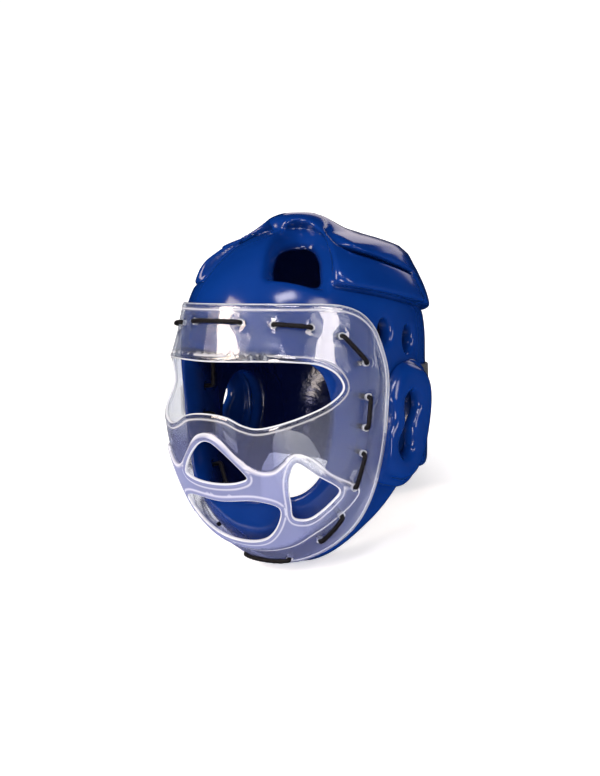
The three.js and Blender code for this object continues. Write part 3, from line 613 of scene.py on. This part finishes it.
for name, node, points, faces, ways in (
    ("left_ear_pad", "ear_pad_left", ear_points, quads, normals),
    ("right_ear_pad", "ear_pad_right", ear_points * MIRROR, quads[:, ::-1], normals * MIRROR),
):
    ear_piece = mesh_object(name, points, [faces], ways)
    ear_piece.data.materials.append(vinyl)
    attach(ear_piece, "root")
    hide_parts(node)

# Face shield
# A clear plastic sheet, moulded to stand off the padding, with polished edges round its openings and a
# raised lattice round the lower vents. The lace holds it through a row of holes near its border.

EYE_OPENING = ((0, 162), (60, 162.5), (76, 160), (84, 153), (87, 142), (81, 130), (66, 119.5), (44, 112.5),
               (33, 114.5), (20, 120), (0, 122))
NOSE_VENT = ((0, 103), (9, 100), (28, 82), (31, 76), (23, 72), (0, 69.5))
MOUTH_OPENING = ((0, 57), (34, 59), (46, 54), (40, 40), (24, 27), (0, 22.5))
CHEEK_VENT = ((64, 89), (72, 79), (78, 68), (73, 58), (58, 44), (51, 45), (53, 57), (58, 79))
LATTICE = ((0, 107), (11, 104), (25, 90.5), (38, 80.5), (49, 80.5), (57, 87), (63, 93.5), (70, 91), (77, 78),
           (83, 67), (79, 56), (67, 41), (56, 32), (38, 21), (15, 15), (0, 14))
LATTICE_RISE = 2.0
LATTICE_STEP = 2.2
LATTICE_ROWS = (-2.4, -1.6, -0.8, 0.0, 0.8, 1.6, 2.4)
LATTICE_CLEAR = {"grid": 3.4, "rim": 2.9}
RIM_ROWS = (1.0, 2.0, 3.0, 4.2)
RIM_CLEAR = {"grid": 5.2, "cut": 0.9}
BEAD = {"rise": 0.55, "in": 1.7, "half": 1.3}
SHAPED_LOOPS = 5
THINNEST = 0.55
SHIELD_CUT_BACK = -24.0
SHIELD_CUT_REACH = 120.0
SHIELD_HOLE_RADIUS = 2.8
SHEET_SPACING = 3.0
ROW_SHARE = 0.866
BORDER_POINTS = 640
BORDER_HALVINGS = 30
HOLE_POINTS = 16
SHEET_SLOPE_MM = 0.4
RIM_STEPS = 6
RIM_BULGE = 0.9
MAP_RADIUS = 100.0
MAP_CENTRE = np.array([0.0, -12.0])
MAP_REACH = (5.0, 260.0)
MAP_LIMIT = 150.0
MAP_LOW = (-220.0, -130.0)
MAP_HIGH = (220.0, 80.0)
HAZE = {"brow": 0.03, "chin": 0.13, "lattice": 0.3, "plain": 0.4, "from": 125.0, "over": 70.0}
# Painted light: where the sheet is tinted lavender for the lit blue interior seen through it, below a height
# and near the middle.
PAINTED_INTERIOR_ZONE = {"top": 122.0, "fall": 24.0, "side": 66.0, "reach": 16.0}
# Painted highlight: white lines a little in from each opening and along the lattice's outline.
RIM_GLINT = {"in": 3.0, "half": 0.8, "strength": 0.4}
LATTICE_GLINT = {"half": 1.0, "strength": 0.6}
RIPPLE_MM = 50.0
STRAIGHT_SHARE = 0.5
POLISH_SHARE = 0.06
EDGE_CLOUD_MM = 16.7


def lattice_rise(x, z):
    """Height of the raised lattice: a smooth step across its outline."""
    return LATTICE_RISE * smooth_step(0.5 - outline_distance(np.abs(x), z, lattice_outline) / LATTICE_STEP)


def plain_offset(points):
    """Distance from the head form to the middle of the sheet, without the lattice."""
    return shield_gap(points[:, 2]) + SHIELD_WALL / 2


def sheet_offset(points):
    """The same with the lattice."""
    return plain_offset(points) + lattice_rise(points[:, 0], points[:, 2])


def to_map(points):
    """Turn and climb of a point seen from the heart of the form, as a flat map in millimetres."""
    away = points - FORM_HEART
    turn = np.arctan2(away[:, 0], -away[:, 1])
    climb = np.arctan2(away[:, 2], np.hypot(away[:, 0], away[:, 1]))
    return np.stack([turn, climb], 1) * MAP_RADIUS


def from_map(flat, offset_at):
    """The point of the sheet at a place on the map."""
    turn, climb = flat.T / MAP_RADIUS
    way = np.stack([np.sin(turn) * np.cos(climb), -np.cos(turn) * np.cos(climb), np.sin(climb)], 1)
    return alongside(FORM_HEART + 0 * way, way, offset_at, *FORM_REACH)


def front_loop(outline):
    """A closed outline in the front view, carried along y on to the sheet and then on to the map."""
    start = np.stack([outline[:, 0], np.full(len(outline), SHIELD_CUT_BACK), outline[:, 1]], 1)
    way = np.zeros_like(start)
    way[:, 1] = -1
    return to_map(alongside(start, way, plain_offset, 0, SHIELD_CUT_REACH))


def moved_loop(loop, shift):
    """A loop moved sideways by a distance, along the normal of each corner."""
    along = unit(np.roll(loop, -1, 0) - np.roll(loop, 1, 0))
    return loop + shift * np.stack([-along[:, 1], along[:, 0]], 1)


def thinned(points, apart):
    """Points with no two in one square of a grid, so none are closer than about that."""
    cell = np.round(points / apart).astype(int)
    first = np.unique(cell, axis=0, return_index=True)[1]
    return points[np.sort(first)]


def loop_gap(flat, near_loops):
    """Distance from places on the map to the nearest of some loops."""
    return np.min([line_distance(*flat.T, loop, True) for loop in near_loops], 0)


def in_sheet(flat, spare):
    """Whether places on the map lie inside the border and outside every opening, with some to spare."""
    within = outline_distance(*flat.T, border) < -spare
    for loop in loops:
        within &= outline_distance(*flat.T, loop) > spare
    return within


def in_border(reach):
    """Whether places along the spokes of the map lie within the sheet's outline in the side view."""
    point = from_map(np.clip(MAP_CENTRE + spokes * reach[:, None], -MAP_LIMIT, MAP_LIMIT), plain_offset)
    return outline_distance(point[:, 1], point[:, 2], shield_outline) < 0


lattice_outline = smooth_run(both_halves(LATTICE), steps=6, closed=True)
angles = np.linspace(0, 2 * math.pi, BORDER_POINTS, endpoint=False)
spokes = np.stack([np.cos(angles), np.sin(angles)], 1)
border = MAP_CENTRE + spokes * last_within(in_border, BORDER_POINTS, *MAP_REACH, BORDER_HALVINGS)[:, None]

cheek_left = smooth_run(CHEEK_VENT, steps=8, closed=True)
loops = [front_loop(smooth_run(both_halves(rows), steps=8, closed=True))
         for rows in (EYE_OPENING, NOSE_VENT, MOUTH_OPENING)]
loops += [front_loop(cheek_left), front_loop(cheek_left * (-1, 1))]
ring = np.linspace(0, 2 * math.pi, HOLE_POINTS, endpoint=False)[:, None]
for flip in (1, MIRROR):
    for seat, way in zip(hole_seats * flip, hole_outward * flip):
        first = unit(np.cross(way, (0, 0, 1)))
        second = np.cross(way, first)
        centre = seat + way * (shield_gap(seat[2]) + SHIELD_WALL / 2)
        loops.append(to_map(centre + SHIELD_HOLE_RADIUS * (np.cos(ring) * first + np.sin(ring) * second)))
shaped = [border] + loops[:SHAPED_LOOPS]

columns = np.arange(MAP_LOW[0], MAP_HIGH[0], SHEET_SPACING)
rows = np.arange(MAP_LOW[1], MAP_HIGH[1], SHEET_SPACING * ROW_SHARE)
grid = np.stack(np.meshgrid(columns, rows), -1)
grid[1::2, :, 0] += SHEET_SPACING / 2
grid = grid.reshape(-1, 2)
lattice_loop = front_loop(lattice_outline)
grid = grid[(loop_gap(grid, [lattice_loop]) > LATTICE_CLEAR["grid"])
            & (loop_gap(grid, [border] + loops) > RIM_CLEAR["grid"])]
beside = [moved_loop(lattice_loop, shift) for shift in LATTICE_ROWS]
rim_rows = np.concatenate([moved_loop(loop, shift)
                           for loop in shaped for row in RIM_ROWS for shift in (row, -row)])
rim_rows = rim_rows[loop_gap(rim_rows, [lattice_loop]) > LATTICE_CLEAR["rim"]]
grid = np.concatenate([grid, rim_rows] + beside)
grid = thinned(grid[in_sheet(grid, RIM_CLEAR["cut"])], THINNEST)
flat = np.concatenate([border] + loops + [grid])
edges, start = [], 0
for loop in [border] + loops:
    edges += [(start + i, start + (i + 1) % len(loop)) for i in range(len(loop))]
    start += len(loop)
found = delaunay_2d_cdt([Vector(p) for p in flat.tolist()], edges, [], 0, 1e-5)
flat = np.array([tuple(v) for v in found[0]])
tris = np.array(found[2], np.int32)
tris = tris[in_sheet(flat[tris].mean(1), 0)]
used, tris = np.unique(tris, return_inverse=True)
flat, tris = flat[used], tris.reshape(-1, 3)

sheet = from_map(flat, sheet_offset)
rim_gap = loop_gap(flat, shaped)
bead = BEAD["rise"] * np.clip(1 - ((rim_gap - BEAD["in"]) / BEAD["half"]) ** 2, 0, 1) ** 2
slope = unit(change_along(lambda p: head_distance(*p.T) - sheet_offset(p), sheet, SHEET_SLOPE_MM))
a, b, c = (sheet[tris[:, i]] for i in range(3))
inward = (np.cross(b - a, c - a) * slope[tris[:, 0]]).sum(1) < 0
tris[inward] = tris[inward][:, ::-1]

count = len(sheet)
half_edges = np.concatenate([tris[:, [0, 1]], tris[:, [1, 2]], tris[:, [2, 0]]]).astype(np.int64)
same_edge = np.unique(half_edges.min(1) * count + half_edges.max(1), return_inverse=True)[1]
rim = half_edges[np.bincount(same_edge)[same_edge] == 1]
along = np.zeros_like(sheet)
for end in (0, 1):
    np.add.at(along, rim[:, end], sheet[rim[:, 1]] - sheet[rim[:, 0]])
rim_ids = np.unique(rim)
out = unit(np.cross(along[rim_ids], slope[rim_ids]))
rim_row = np.full(count, -1)
rim_row[rim_ids] = np.arange(len(rim_ids))

points = [sheet + slope * (SHIELD_WALL / 2 + bead)[:, None], sheet - slope * SHIELD_WALL / 2]
bends = np.linspace(0, math.pi, RIM_STEPS + 1)[1:-1]
levels = [rim]
for step, bend in enumerate(bends):
    rounded = slope[rim_ids] * SHIELD_WALL / 2 * math.cos(bend) + out * RIM_BULGE * math.sin(bend)
    points.append(sheet[rim_ids] + rounded)
    levels.append(2 * count + step * len(rim_ids) + rim_row[rim])
levels.append(rim + count)
rim_quads = np.concatenate([np.concatenate([one[:, ::-1], two], 1) for one, two in zip(levels, levels[1:])])
shield_points = np.concatenate(points)
shield_piece = mesh_object("clear_face_shield", shield_points, [tris, tris[:, ::-1] + count, rim_quads])
face_slots = np.zeros(len(shield_piece.data.polygons), np.int32)
face_slots[2 * len(tris):] = 1
shield_piece.data.polygons.foreach_set("material_index", face_slots)

sideways, upward = np.abs(shield_points[:, 0]), shield_points[:, 2]
lower = np.clip((HAZE["from"] - upward) / HAZE["over"], 0, 1)
cloud = HAZE["brow"] + (HAZE["chin"] - HAZE["brow"]) * lower
# Painted light: a lavender tint for the lit blue interior behind the sheet, below the eyes and fading
# towards the sides.
painted_interior = np.clip((PAINTED_INTERIOR_ZONE["top"] - upward) / PAINTED_INTERIOR_ZONE["fall"], 0, 1)
painted_interior *= np.clip((PAINTED_INTERIOR_ZONE["side"] - sideways) / PAINTED_INTERIOR_ZONE["reach"], 0, 1)
raised = lattice_rise(sideways, upward) / LATTICE_RISE
cloud += HAZE["lattice"] * (HAZE["plain"] + (1 - HAZE["plain"]) * painted_interior) * raised
lattice_gap = loop_gap(flat, [lattice_loop])
# Painted highlight: white lines 3 mm in from the openings and round the lattice.
rim_glint = RIM_GLINT["strength"] * np.clip(1 - np.abs(rim_gap - RIM_GLINT["in"]) / RIM_GLINT["half"], 0, 1)
lattice_glint = LATTICE_GLINT["strength"] * np.clip(1 - lattice_gap / LATTICE_GLINT["half"], 0, 1)
painted_glint = np.zeros(len(shield_points))
painted_glint[:count] = np.maximum(rim_glint, lattice_glint)
for name, values in (("cloud", cloud), ("painted_interior", painted_interior), ("line", painted_glint)):
    add_attribute(shield_piece, name, values)

# Clear polycarbonate: see-through with sharp reflections. The thick moulded chin and the raised lattice are
# hazy. Below the eyes the sheet is tinted lavender as painted light from the lit blue interior behind it,
# and a painted highlight, a white line, runs beside each opening and round the lattice.
clear_plastic, tree, output = new_material("clear polycarbonate")
hazy, painted_interior_at, glint_share = (add_node(tree, "ShaderNodeAttribute", attribute_name=name).outputs["Fac"]
                       for name in ("cloud", "painted_interior", "line"))
at = add_node(tree, "ShaderNodeTexCoord").outputs["Object"]
ripple = add_node(tree, "ShaderNodeTexNoise", {"Vector": at, "Scale": 1000 / RIPPLE_MM, "Detail": 2.0})
rough = add_node(tree, "ShaderNodeMapRange", {
    "Value": ripple.outputs["Fac"], "To Min": 0.01, "To Max": 0.05})
wave = add_node(tree, "ShaderNodeBump", {
    "Height": ripple.outputs["Fac"], "Strength": 0.1, "Distance": 0.002})
# The see-through colour turns lavender where the painted light of the lit interior lies.
tint = add_node(tree, "ShaderNodeMix", {
    "Factor": painted_interior_at, MIX_A: linear("#f6f9fd"), MIX_B: linear("#b8bde0")}, data_type="RGBA")
glass = add_node(tree, "ShaderNodeBsdfPrincipled", {
    "Base Color": tint.outputs[MIX_OUT], "Roughness": rough.outputs[0], "IOR": 1.5,
    "Transmission Weight": 1.0, "Normal": wave.outputs["Normal"]})
straight = add_node(tree, "ShaderNodeBsdfTransparent", {"Color": tint.outputs[MIX_OUT]})
polish = add_node(tree, "ShaderNodeBsdfGlossy", {
    "Color": linear("#ffffff"), "Roughness": 0.06, "Normal": wave.outputs["Normal"]})
milk = add_node(tree, "ShaderNodeBsdfDiffuse", {"Color": linear("#a3acd8")})
# White diffuse of the painted highlight lines.
white = add_node(tree, "ShaderNodeBsdfDiffuse", {"Color": linear("#f4f6fc")})
body = glass
for share, over in ((STRAIGHT_SHARE, straight), (POLISH_SHARE, polish), (hazy, milk), (glint_share, white)):
    body = add_node(tree, "ShaderNodeMixShader", {0: share, 1: body.outputs[0], 2: over.outputs[0]})
tree.links.new(body.outputs[0], output.inputs[0])
shield_piece.data.materials.append(clear_plastic)

# Polished cut edge of the same sheet: light gathered in the sheet comes out here, so it looks white.
clear_edge, tree, output = new_material("polished polycarbonate edge")
at = add_node(tree, "ShaderNodeTexCoord").outputs["Object"]
patchy = add_node(tree, "ShaderNodeTexNoise", {"Vector": at, "Scale": 1000 / EDGE_CLOUD_MM, "Detail": 2.0})
edge_tone = add_node(tree, "ShaderNodeMix", {
    "Factor": patchy.outputs["Fac"], MIX_A: linear("#dfe8f6"), MIX_B: linear("#ffffff")}, data_type="RGBA")
edge = add_node(tree, "ShaderNodeBsdfPrincipled", {
    "Base Color": edge_tone.outputs[MIX_OUT], "Roughness": 0.18, "IOR": 1.5, "Transmission Weight": 0.35})
tree.links.new(edge.outputs[0], output.inputs[0])
shield_piece.data.materials.append(clear_edge)
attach(shield_piece, "root")
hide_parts("face_shield")

# Lace
# A dark braided cord of about 3.5 mm, sewn in and out through the holes of the shield and the padding
# behind it. It goes all the way round, and its two ends lie inside the brow.

LACE_RADIUS = 1.8
LACE_LIFT = LACE_RADIUS + 0.3
LACE_INSIDE_SPARE = 0.6
LACE_STITCH_PARTS = 6
LACE_CORNER = 1.1
LACE_SIDES = 14
LACE_STEP = 0.7
BRAID_STRANDS = 4
BRAID_PITCH = 7.0
BRAID_RELIEF = 0.14
HOLE_SEARCH = 30.0
CORNER_CUTS = 2
CORNER_SHARE = 0.25
SIDE_START = (0.3, 0.5, 0.8)
FUZZ_MM = 0.56


def over_shield(points):
    """Height of the cord's middle above the padding where it lies on the shield."""
    return sheet_offset(points) + SHIELD_WALL / 2 + LACE_LIFT


def inside_padding(points):
    """Depth of the cord's middle where it lies on the inside of the padding."""
    return np.full(len(points), -PADDING - LACE_LIFT - LACE_INSIDE_SPARE)


def stitch(start, stop, offset_at):
    """Points of a stitch between two holes that follows the form at a given offset."""
    shares = np.arange(1, LACE_STITCH_PARTS)[:, None] / LACE_STITCH_PARTS
    chord = start + (stop - start) * shares
    return list(alongside(chord, outward_at(chord), offset_at, -PADDING, PADDING))


def shortened(start, towards, length):
    """A point a short way from one point towards another."""
    return start + unit(towards - start) * length


def tube_faces(rows, sides):
    """Quads between each row of a tube's points and the next, and a cap at each end."""
    ids = np.arange(rows * sides).reshape(rows, sides)
    beside = np.roll(ids, -1, 1)
    quads = np.stack([ids[:-1], beside[:-1], beside[1:], ids[1:]], -1)
    return quads.reshape(-1, 4), np.stack([ids[0, ::-1], ids[-1]])


outside = alongside(hole_seats, hole_outward, over_shield, -HOLE_SEARCH, HOLE_SEARCH)
inside = alongside(hole_seats, hole_outward, inside_padding, -HOLE_SEARCH, HOLE_SEARCH)
left = list(zip(outside, inside))
right = list(zip(outside * MIRROR, inside * MIRROR))
lace_loop = left[1:] + right[::-1] + left[:1]
route = []
for index, (hole_out, hole_in) in enumerate(lace_loop):
    before = lace_loop[index - 1]
    after = lace_loop[(index + 1) % len(lace_loop)]
    outside_first = index % 2 == 1
    enter, leave = (hole_out, hole_in) if outside_first else (hole_in, hole_out)
    came_from = before[0] if outside_first else before[1]
    goes_to = after[1] if outside_first else after[0]
    if index > 0:
        route += stitch(came_from, enter, over_shield if outside_first else inside_padding)
        route.append(shortened(enter, came_from, LACE_CORNER))
    route += [shortened(enter, leave, LACE_CORNER), shortened(leave, enter, LACE_CORNER)]
    if index < len(lace_loop) - 1:
        route.append(shortened(leave, goes_to, LACE_CORNER))
route = np.array(route)
for turn in range(CORNER_CUTS):
    cut = np.empty((2 * len(route), 3))
    cut[0], cut[-1] = route[0], route[-1]
    cut[1:-1:2] = route[:-1] + (route[1:] - route[:-1]) * CORNER_SHARE
    cut[2::2] = route[1:] + (route[:-1] - route[1:]) * CORNER_SHARE
    route = cut
reach = np.concatenate([[0], np.cumsum(np.linalg.norm(np.diff(route, axis=0), axis=1))])
stations = np.linspace(0, reach[-1], int(reach[-1] / LACE_STEP))
line = np.stack([np.interp(stations, reach, route[:, axis]) for axis in range(3)], 1)
heading = unit(np.gradient(line, axis=0))
side_way = np.empty_like(line)
side_way[0] = unit(np.cross(heading[0], SIDE_START))
for index in range(1, len(line)):
    before = side_way[index - 1]
    side_way[index] = unit(before - heading[index] * (before @ heading[index]))
other_way = np.cross(heading, side_way)
around = np.linspace(0, 2 * math.pi, LACE_SIDES, endpoint=False)
phase = 2 * math.pi * stations[:, None] / BRAID_PITCH
strands = BRAID_STRANDS * around
weave = np.abs(np.sin((strands + phase) / 2) * np.sin((strands - phase) / 2))
thick = LACE_RADIUS - BRAID_RELIEF + 2 * BRAID_RELIEF * weave
tube = line[:, None] + thick[..., None] * (np.cos(around)[None, :, None] * side_way[:, None]
                                           + np.sin(around)[None, :, None] * other_way[:, None])
lace_piece = mesh_object("braided_lace", tube.reshape(-1, 3), tube_faces(*tube.shape[:2]))
add_attribute(lace_piece, "weave", weave)

# Braided polyester cord: dull dark yarn, with a painted highlight on the crowns of the strands and painted
# shade, nearly black, between them.
cord, tree, output = new_material("braided polyester cord")
crown_lit_gap_shaded = add_node(tree, "ShaderNodeAttribute", attribute_name="weave").outputs["Fac"]
at = add_node(tree, "ShaderNodeTexCoord").outputs["Object"]
fuzz = add_node(tree, "ShaderNodeTexNoise", {"Vector": at, "Scale": 1000 / FUZZ_MM, "Detail": 2.0})
# Painted highlight on the strand crowns, painted shade in the gaps between the strands.
yarn = add_node(tree, "ShaderNodeMix", {
    "Factor": crown_lit_gap_shaded, MIX_A: linear("#030304"), MIX_B: linear("#1b191f")}, data_type="RGBA")
yarn_bump = add_node(tree, "ShaderNodeBump", {
    "Height": fuzz.outputs["Fac"], "Strength": 0.5, "Distance": 0.0003})
cord_skin = add_node(tree, "ShaderNodeBsdfPrincipled", {
    "Base Color": yarn.outputs[MIX_OUT], "Roughness": 0.5, "Specular IOR Level": 0.25,
    "Normal": yarn_bump.outputs["Normal"]})
tree.links.new(cord_skin.outputs[0], output.inputs[0])
lace_piece.data.materials.append(cord)
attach(lace_piece, "root")
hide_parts("lace")

# Rear strap
# A flat black woven elastic that lies on the padding round the back.
# Its two ends go under the ear pads and are held there.

STRAP_EDGE_ROUND = 0.8
STRAP_ALONG = 160
STRAP_ACROSS = 14
STRAP_CORNER_POINTS = 4
STRAP_REACH = (20.0, 200.0)
RIB_MM = 1.5
THREAD_MM = 0.8

wall_half = STRAP["thickness"] / 2
edge_z, edge_out = strap_half - STRAP_EDGE_ROUND, wall_half - STRAP_EDGE_ROUND
span = np.linspace(-edge_z, edge_z, STRAP_ACROSS)[1:-1]
profile = []
for quarter, (z_sign, out_sign) in enumerate(((1, 1), (1, -1), (-1, -1), (-1, 1))):
    bend = np.linspace(quarter, quarter + 1, STRAP_CORNER_POINTS) * math.pi / 2
    profile.append(np.stack([z_sign * edge_z + STRAP_EDGE_ROUND * np.sin(bend),
                             out_sign * edge_out + STRAP_EDGE_ROUND * np.cos(bend)], 1))
    if z_sign != out_sign:
        profile.append(np.stack([out_sign * span, np.full(len(span), out_sign * wall_half)], 1))
profile = np.concatenate(profile)
heights = strap_level + profile[:, 0]
offsets = STRAP["gap"] + wall_half + profile[:, 1]


def strap_points(turns):
    """Strap points at a turn from straight back, a row for each point of the profile."""
    start = np.stack([0 * heights, 0 * heights + FORM_HEART[1], heights], 1)
    way = np.stack([np.sin(turns), np.cos(turns), 0 * turns], 1)
    return alongside(start, way, lambda p: offsets, *STRAP_REACH)


end_turn = last_within(lambda turns: strap_points(turns)[:, 1] > STRAP["end"], len(heights), 0, math.pi / 2,
                       BORDER_HALVINGS)
strap_grid = np.stack([strap_points(end_turn * share) for share in np.linspace(-1, 1, STRAP_ALONG)])
strap_shape = strap_grid.shape[:2]
strap_piece = mesh_object("elastic_rear_strap", strap_grid.reshape(-1, 3), tube_faces(*strap_shape))
run = np.concatenate([[0], np.cumsum(np.linalg.norm(np.diff(strap_grid[:, 0], axis=0), axis=1))])
uv = np.stack([np.broadcast_to(part, strap_shape) for part in (run[:, None], profile[:, 0])], -1)
corners = np.empty(len(strap_piece.data.loops), np.int32)
strap_piece.data.loops.foreach_get("vertex_index", corners)
layer = strap_piece.data.uv_layers.new(name="strap mm")
layer.data.foreach_set("uv", uv.reshape(-1, 2)[corners].astype(np.float32).ravel())

# Woven elastic: lengthways ribs of dull black yarn, crossed by finer threads.
elastic, tree, output = new_material("woven elastic")
strap_uv = add_node(tree, "ShaderNodeUVMap", uv_map="strap mm")
parts = add_node(tree, "ShaderNodeSeparateXYZ", {0: strap_uv.outputs[0]})
waves = []
for way, length in (("Y", RIB_MM), ("X", THREAD_MM)):
    turns = add_node(tree, "ShaderNodeMath", {
        0: parts.outputs[way], 1: 2 * math.pi / length}, operation="MULTIPLY")
    waves.append(add_node(tree, "ShaderNodeMath", {0: turns.outputs[0]}, operation="SINE").outputs[0])
cloth = add_node(tree, "ShaderNodeMath", {0: waves[0], 1: waves[1]}, operation="MULTIPLY")
level = add_node(tree, "ShaderNodeMapRange", {
    "Value": cloth.outputs[0], "From Min": -1.0, "From Max": 1.0}).outputs[0]
yarn = add_node(tree, "ShaderNodeMix", {
    "Factor": level, MIX_A: linear("#0c0c0f"), MIX_B: linear("#26262c")}, data_type="RGBA")
cloth_bump = add_node(tree, "ShaderNodeBump", {"Height": level, "Strength": 0.6, "Distance": 0.0004})
weave_skin = add_node(tree, "ShaderNodeBsdfPrincipled", {
    "Base Color": yarn.outputs[MIX_OUT], "Roughness": 0.75, "Sheen Weight": 0.15,
    "Normal": cloth_bump.outputs["Normal"]})
tree.links.new(weave_skin.outputs[0], output.inputs[0])
strap_piece.data.materials.append(elastic)
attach(strap_piece, "root")
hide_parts("rear_strap")

# Stage
# A white studio: a pale floor that glows a little, a white sky, a broad sun and five soft boxes. Floor, sun
# and sky stay out of reflections, so the vinyl keeps its depth. The camera is set as worn and then pitched
# back with the guard.

CAMERA_AZIMUTH = math.radians(40)
CAMERA_ELEVATION = math.radians(4)
CAMERA_DISTANCE = 1300.0
CAMERA_TARGET = np.array([0.0, 0.0, 136.0])
MM_PER_PIXEL = 0.8
PHOTO_LONG_SIDE = 776
SENSOR_MM = 36.0
FLOOR_HALF = 30.0
AIM_HEIGHT = 0.13
SKY_STRENGTH = 1.0
PAPER_GLOW = 0.55
SUN = {"towards": (-0.15, -0.30, 0.94), "strength": 2.1, "spread": math.radians(70)}
SOFT_BOXES = (
    {"name": "left window", "at": (-0.7, -1.3, 1.2), "size": (0.7, 0.9), "power": 20.0, "tint": "#ffe9d6"},
    {"name": "right window", "at": (1.6, -0.2, 1.0), "size": (0.4, 1.0), "power": 9.0, "tint": "#fff4ea"},
    {"name": "front window", "at": (0.9, -1.7, 0.7), "size": (0.3, 0.8), "power": 11.0, "tint": "#fdeee6"},
    {"name": "high window", "at": (0.7, -0.5, 1.4), "size": (0.45, 0.22), "power": 5.0, "tint": "#f3ecf2"},
    {"name": "back window", "at": (-0.5, 1.7, 0.45), "size": (1.6, 0.6), "power": 4.0, "tint": "#f0e4e6"},
)

floor_mesh = bpy.data.meshes.new("studio floor")
floor_corners = [(x * FLOOR_HALF, y * FLOOR_HALF, 0) for x, y in ((-1, -1), (1, -1), (1, 1), (-1, 1))]
floor_mesh.from_pydata(floor_corners, [], [(0, 1, 2, 3)])
floor_piece = scene_object("studio floor", floor_mesh)
paper, tree, output = new_material("white paper")
paper_skin = add_node(tree, "ShaderNodeBsdfPrincipled", {
    "Base Color": linear("#f4f4f4"), "Roughness": 0.9, "Emission Color": linear("#ffffff"),
    "Emission Strength": PAPER_GLOW})
tree.links.new(paper_skin.outputs[0], output.inputs[0])
floor_mesh.materials.append(paper)
floor_piece.visible_glossy = False

world = bpy.data.worlds.new("studio sky")
world.use_nodes = True
sky = world.node_tree.nodes["Background"]
sky.inputs["Color"].default_value = linear("#ffffff")
sky.inputs["Strength"].default_value = SKY_STRENGTH
world.cycles_visibility.diffuse = False
world.cycles_visibility.glossy = False
bpy.context.scene.world = world

sun = bpy.data.lights.new("broad sun", "SUN")
sun.energy = SUN["strength"]
sun.angle = SUN["spread"]
sun_piece = scene_object("broad sun", sun)
sun_piece.rotation_euler = Vector(SUN["towards"]).to_track_quat("Z", "Y").to_euler()
sun_piece.visible_glossy = False
for box in SOFT_BOXES:
    light = bpy.data.lights.new(box["name"], "AREA")
    light.shape = "RECTANGLE"
    light.size, light.size_y = box["size"]
    light.energy = box["power"]
    light.color = linear(box["tint"])[:3]
    lamp = scene_object(box["name"], light)
    lamp.location = box["at"]
    lamp.visible_camera = False
    aim = Vector((0, 0, AIM_HEIGHT)) - lamp.location
    lamp.rotation_euler = aim.to_track_quat("-Z", "Y").to_euler()

bpy.context.scene.view_settings.view_transform = "Standard"

back = np.array([math.sin(CAMERA_AZIMUTH) * math.cos(CAMERA_ELEVATION),
                 -math.cos(CAMERA_AZIMUTH) * math.cos(CAMERA_ELEVATION), math.sin(CAMERA_ELEVATION)])
across = np.array([math.cos(CAMERA_AZIMUTH), math.sin(CAMERA_AZIMUTH), 0.0])
axes = pitched([across, np.cross(back, across), back])
camera = bpy.data.cameras.new("photo camera")
camera.sensor_fit = "AUTO"
camera.sensor_width = SENSOR_MM
camera.lens = SENSOR_MM * CAMERA_DISTANCE / (MM_PER_PIXEL * PHOTO_LONG_SIDE)
camera_piece = scene_object("photo camera", camera)
turn = Matrix(axes.T.tolist()).to_4x4()
turn.translation = rest_pose(CAMERA_TARGET + back * CAMERA_DISTANCE).tolist()
camera_piece.matrix_world = turn
bpy.context.scene.camera = camera_piece
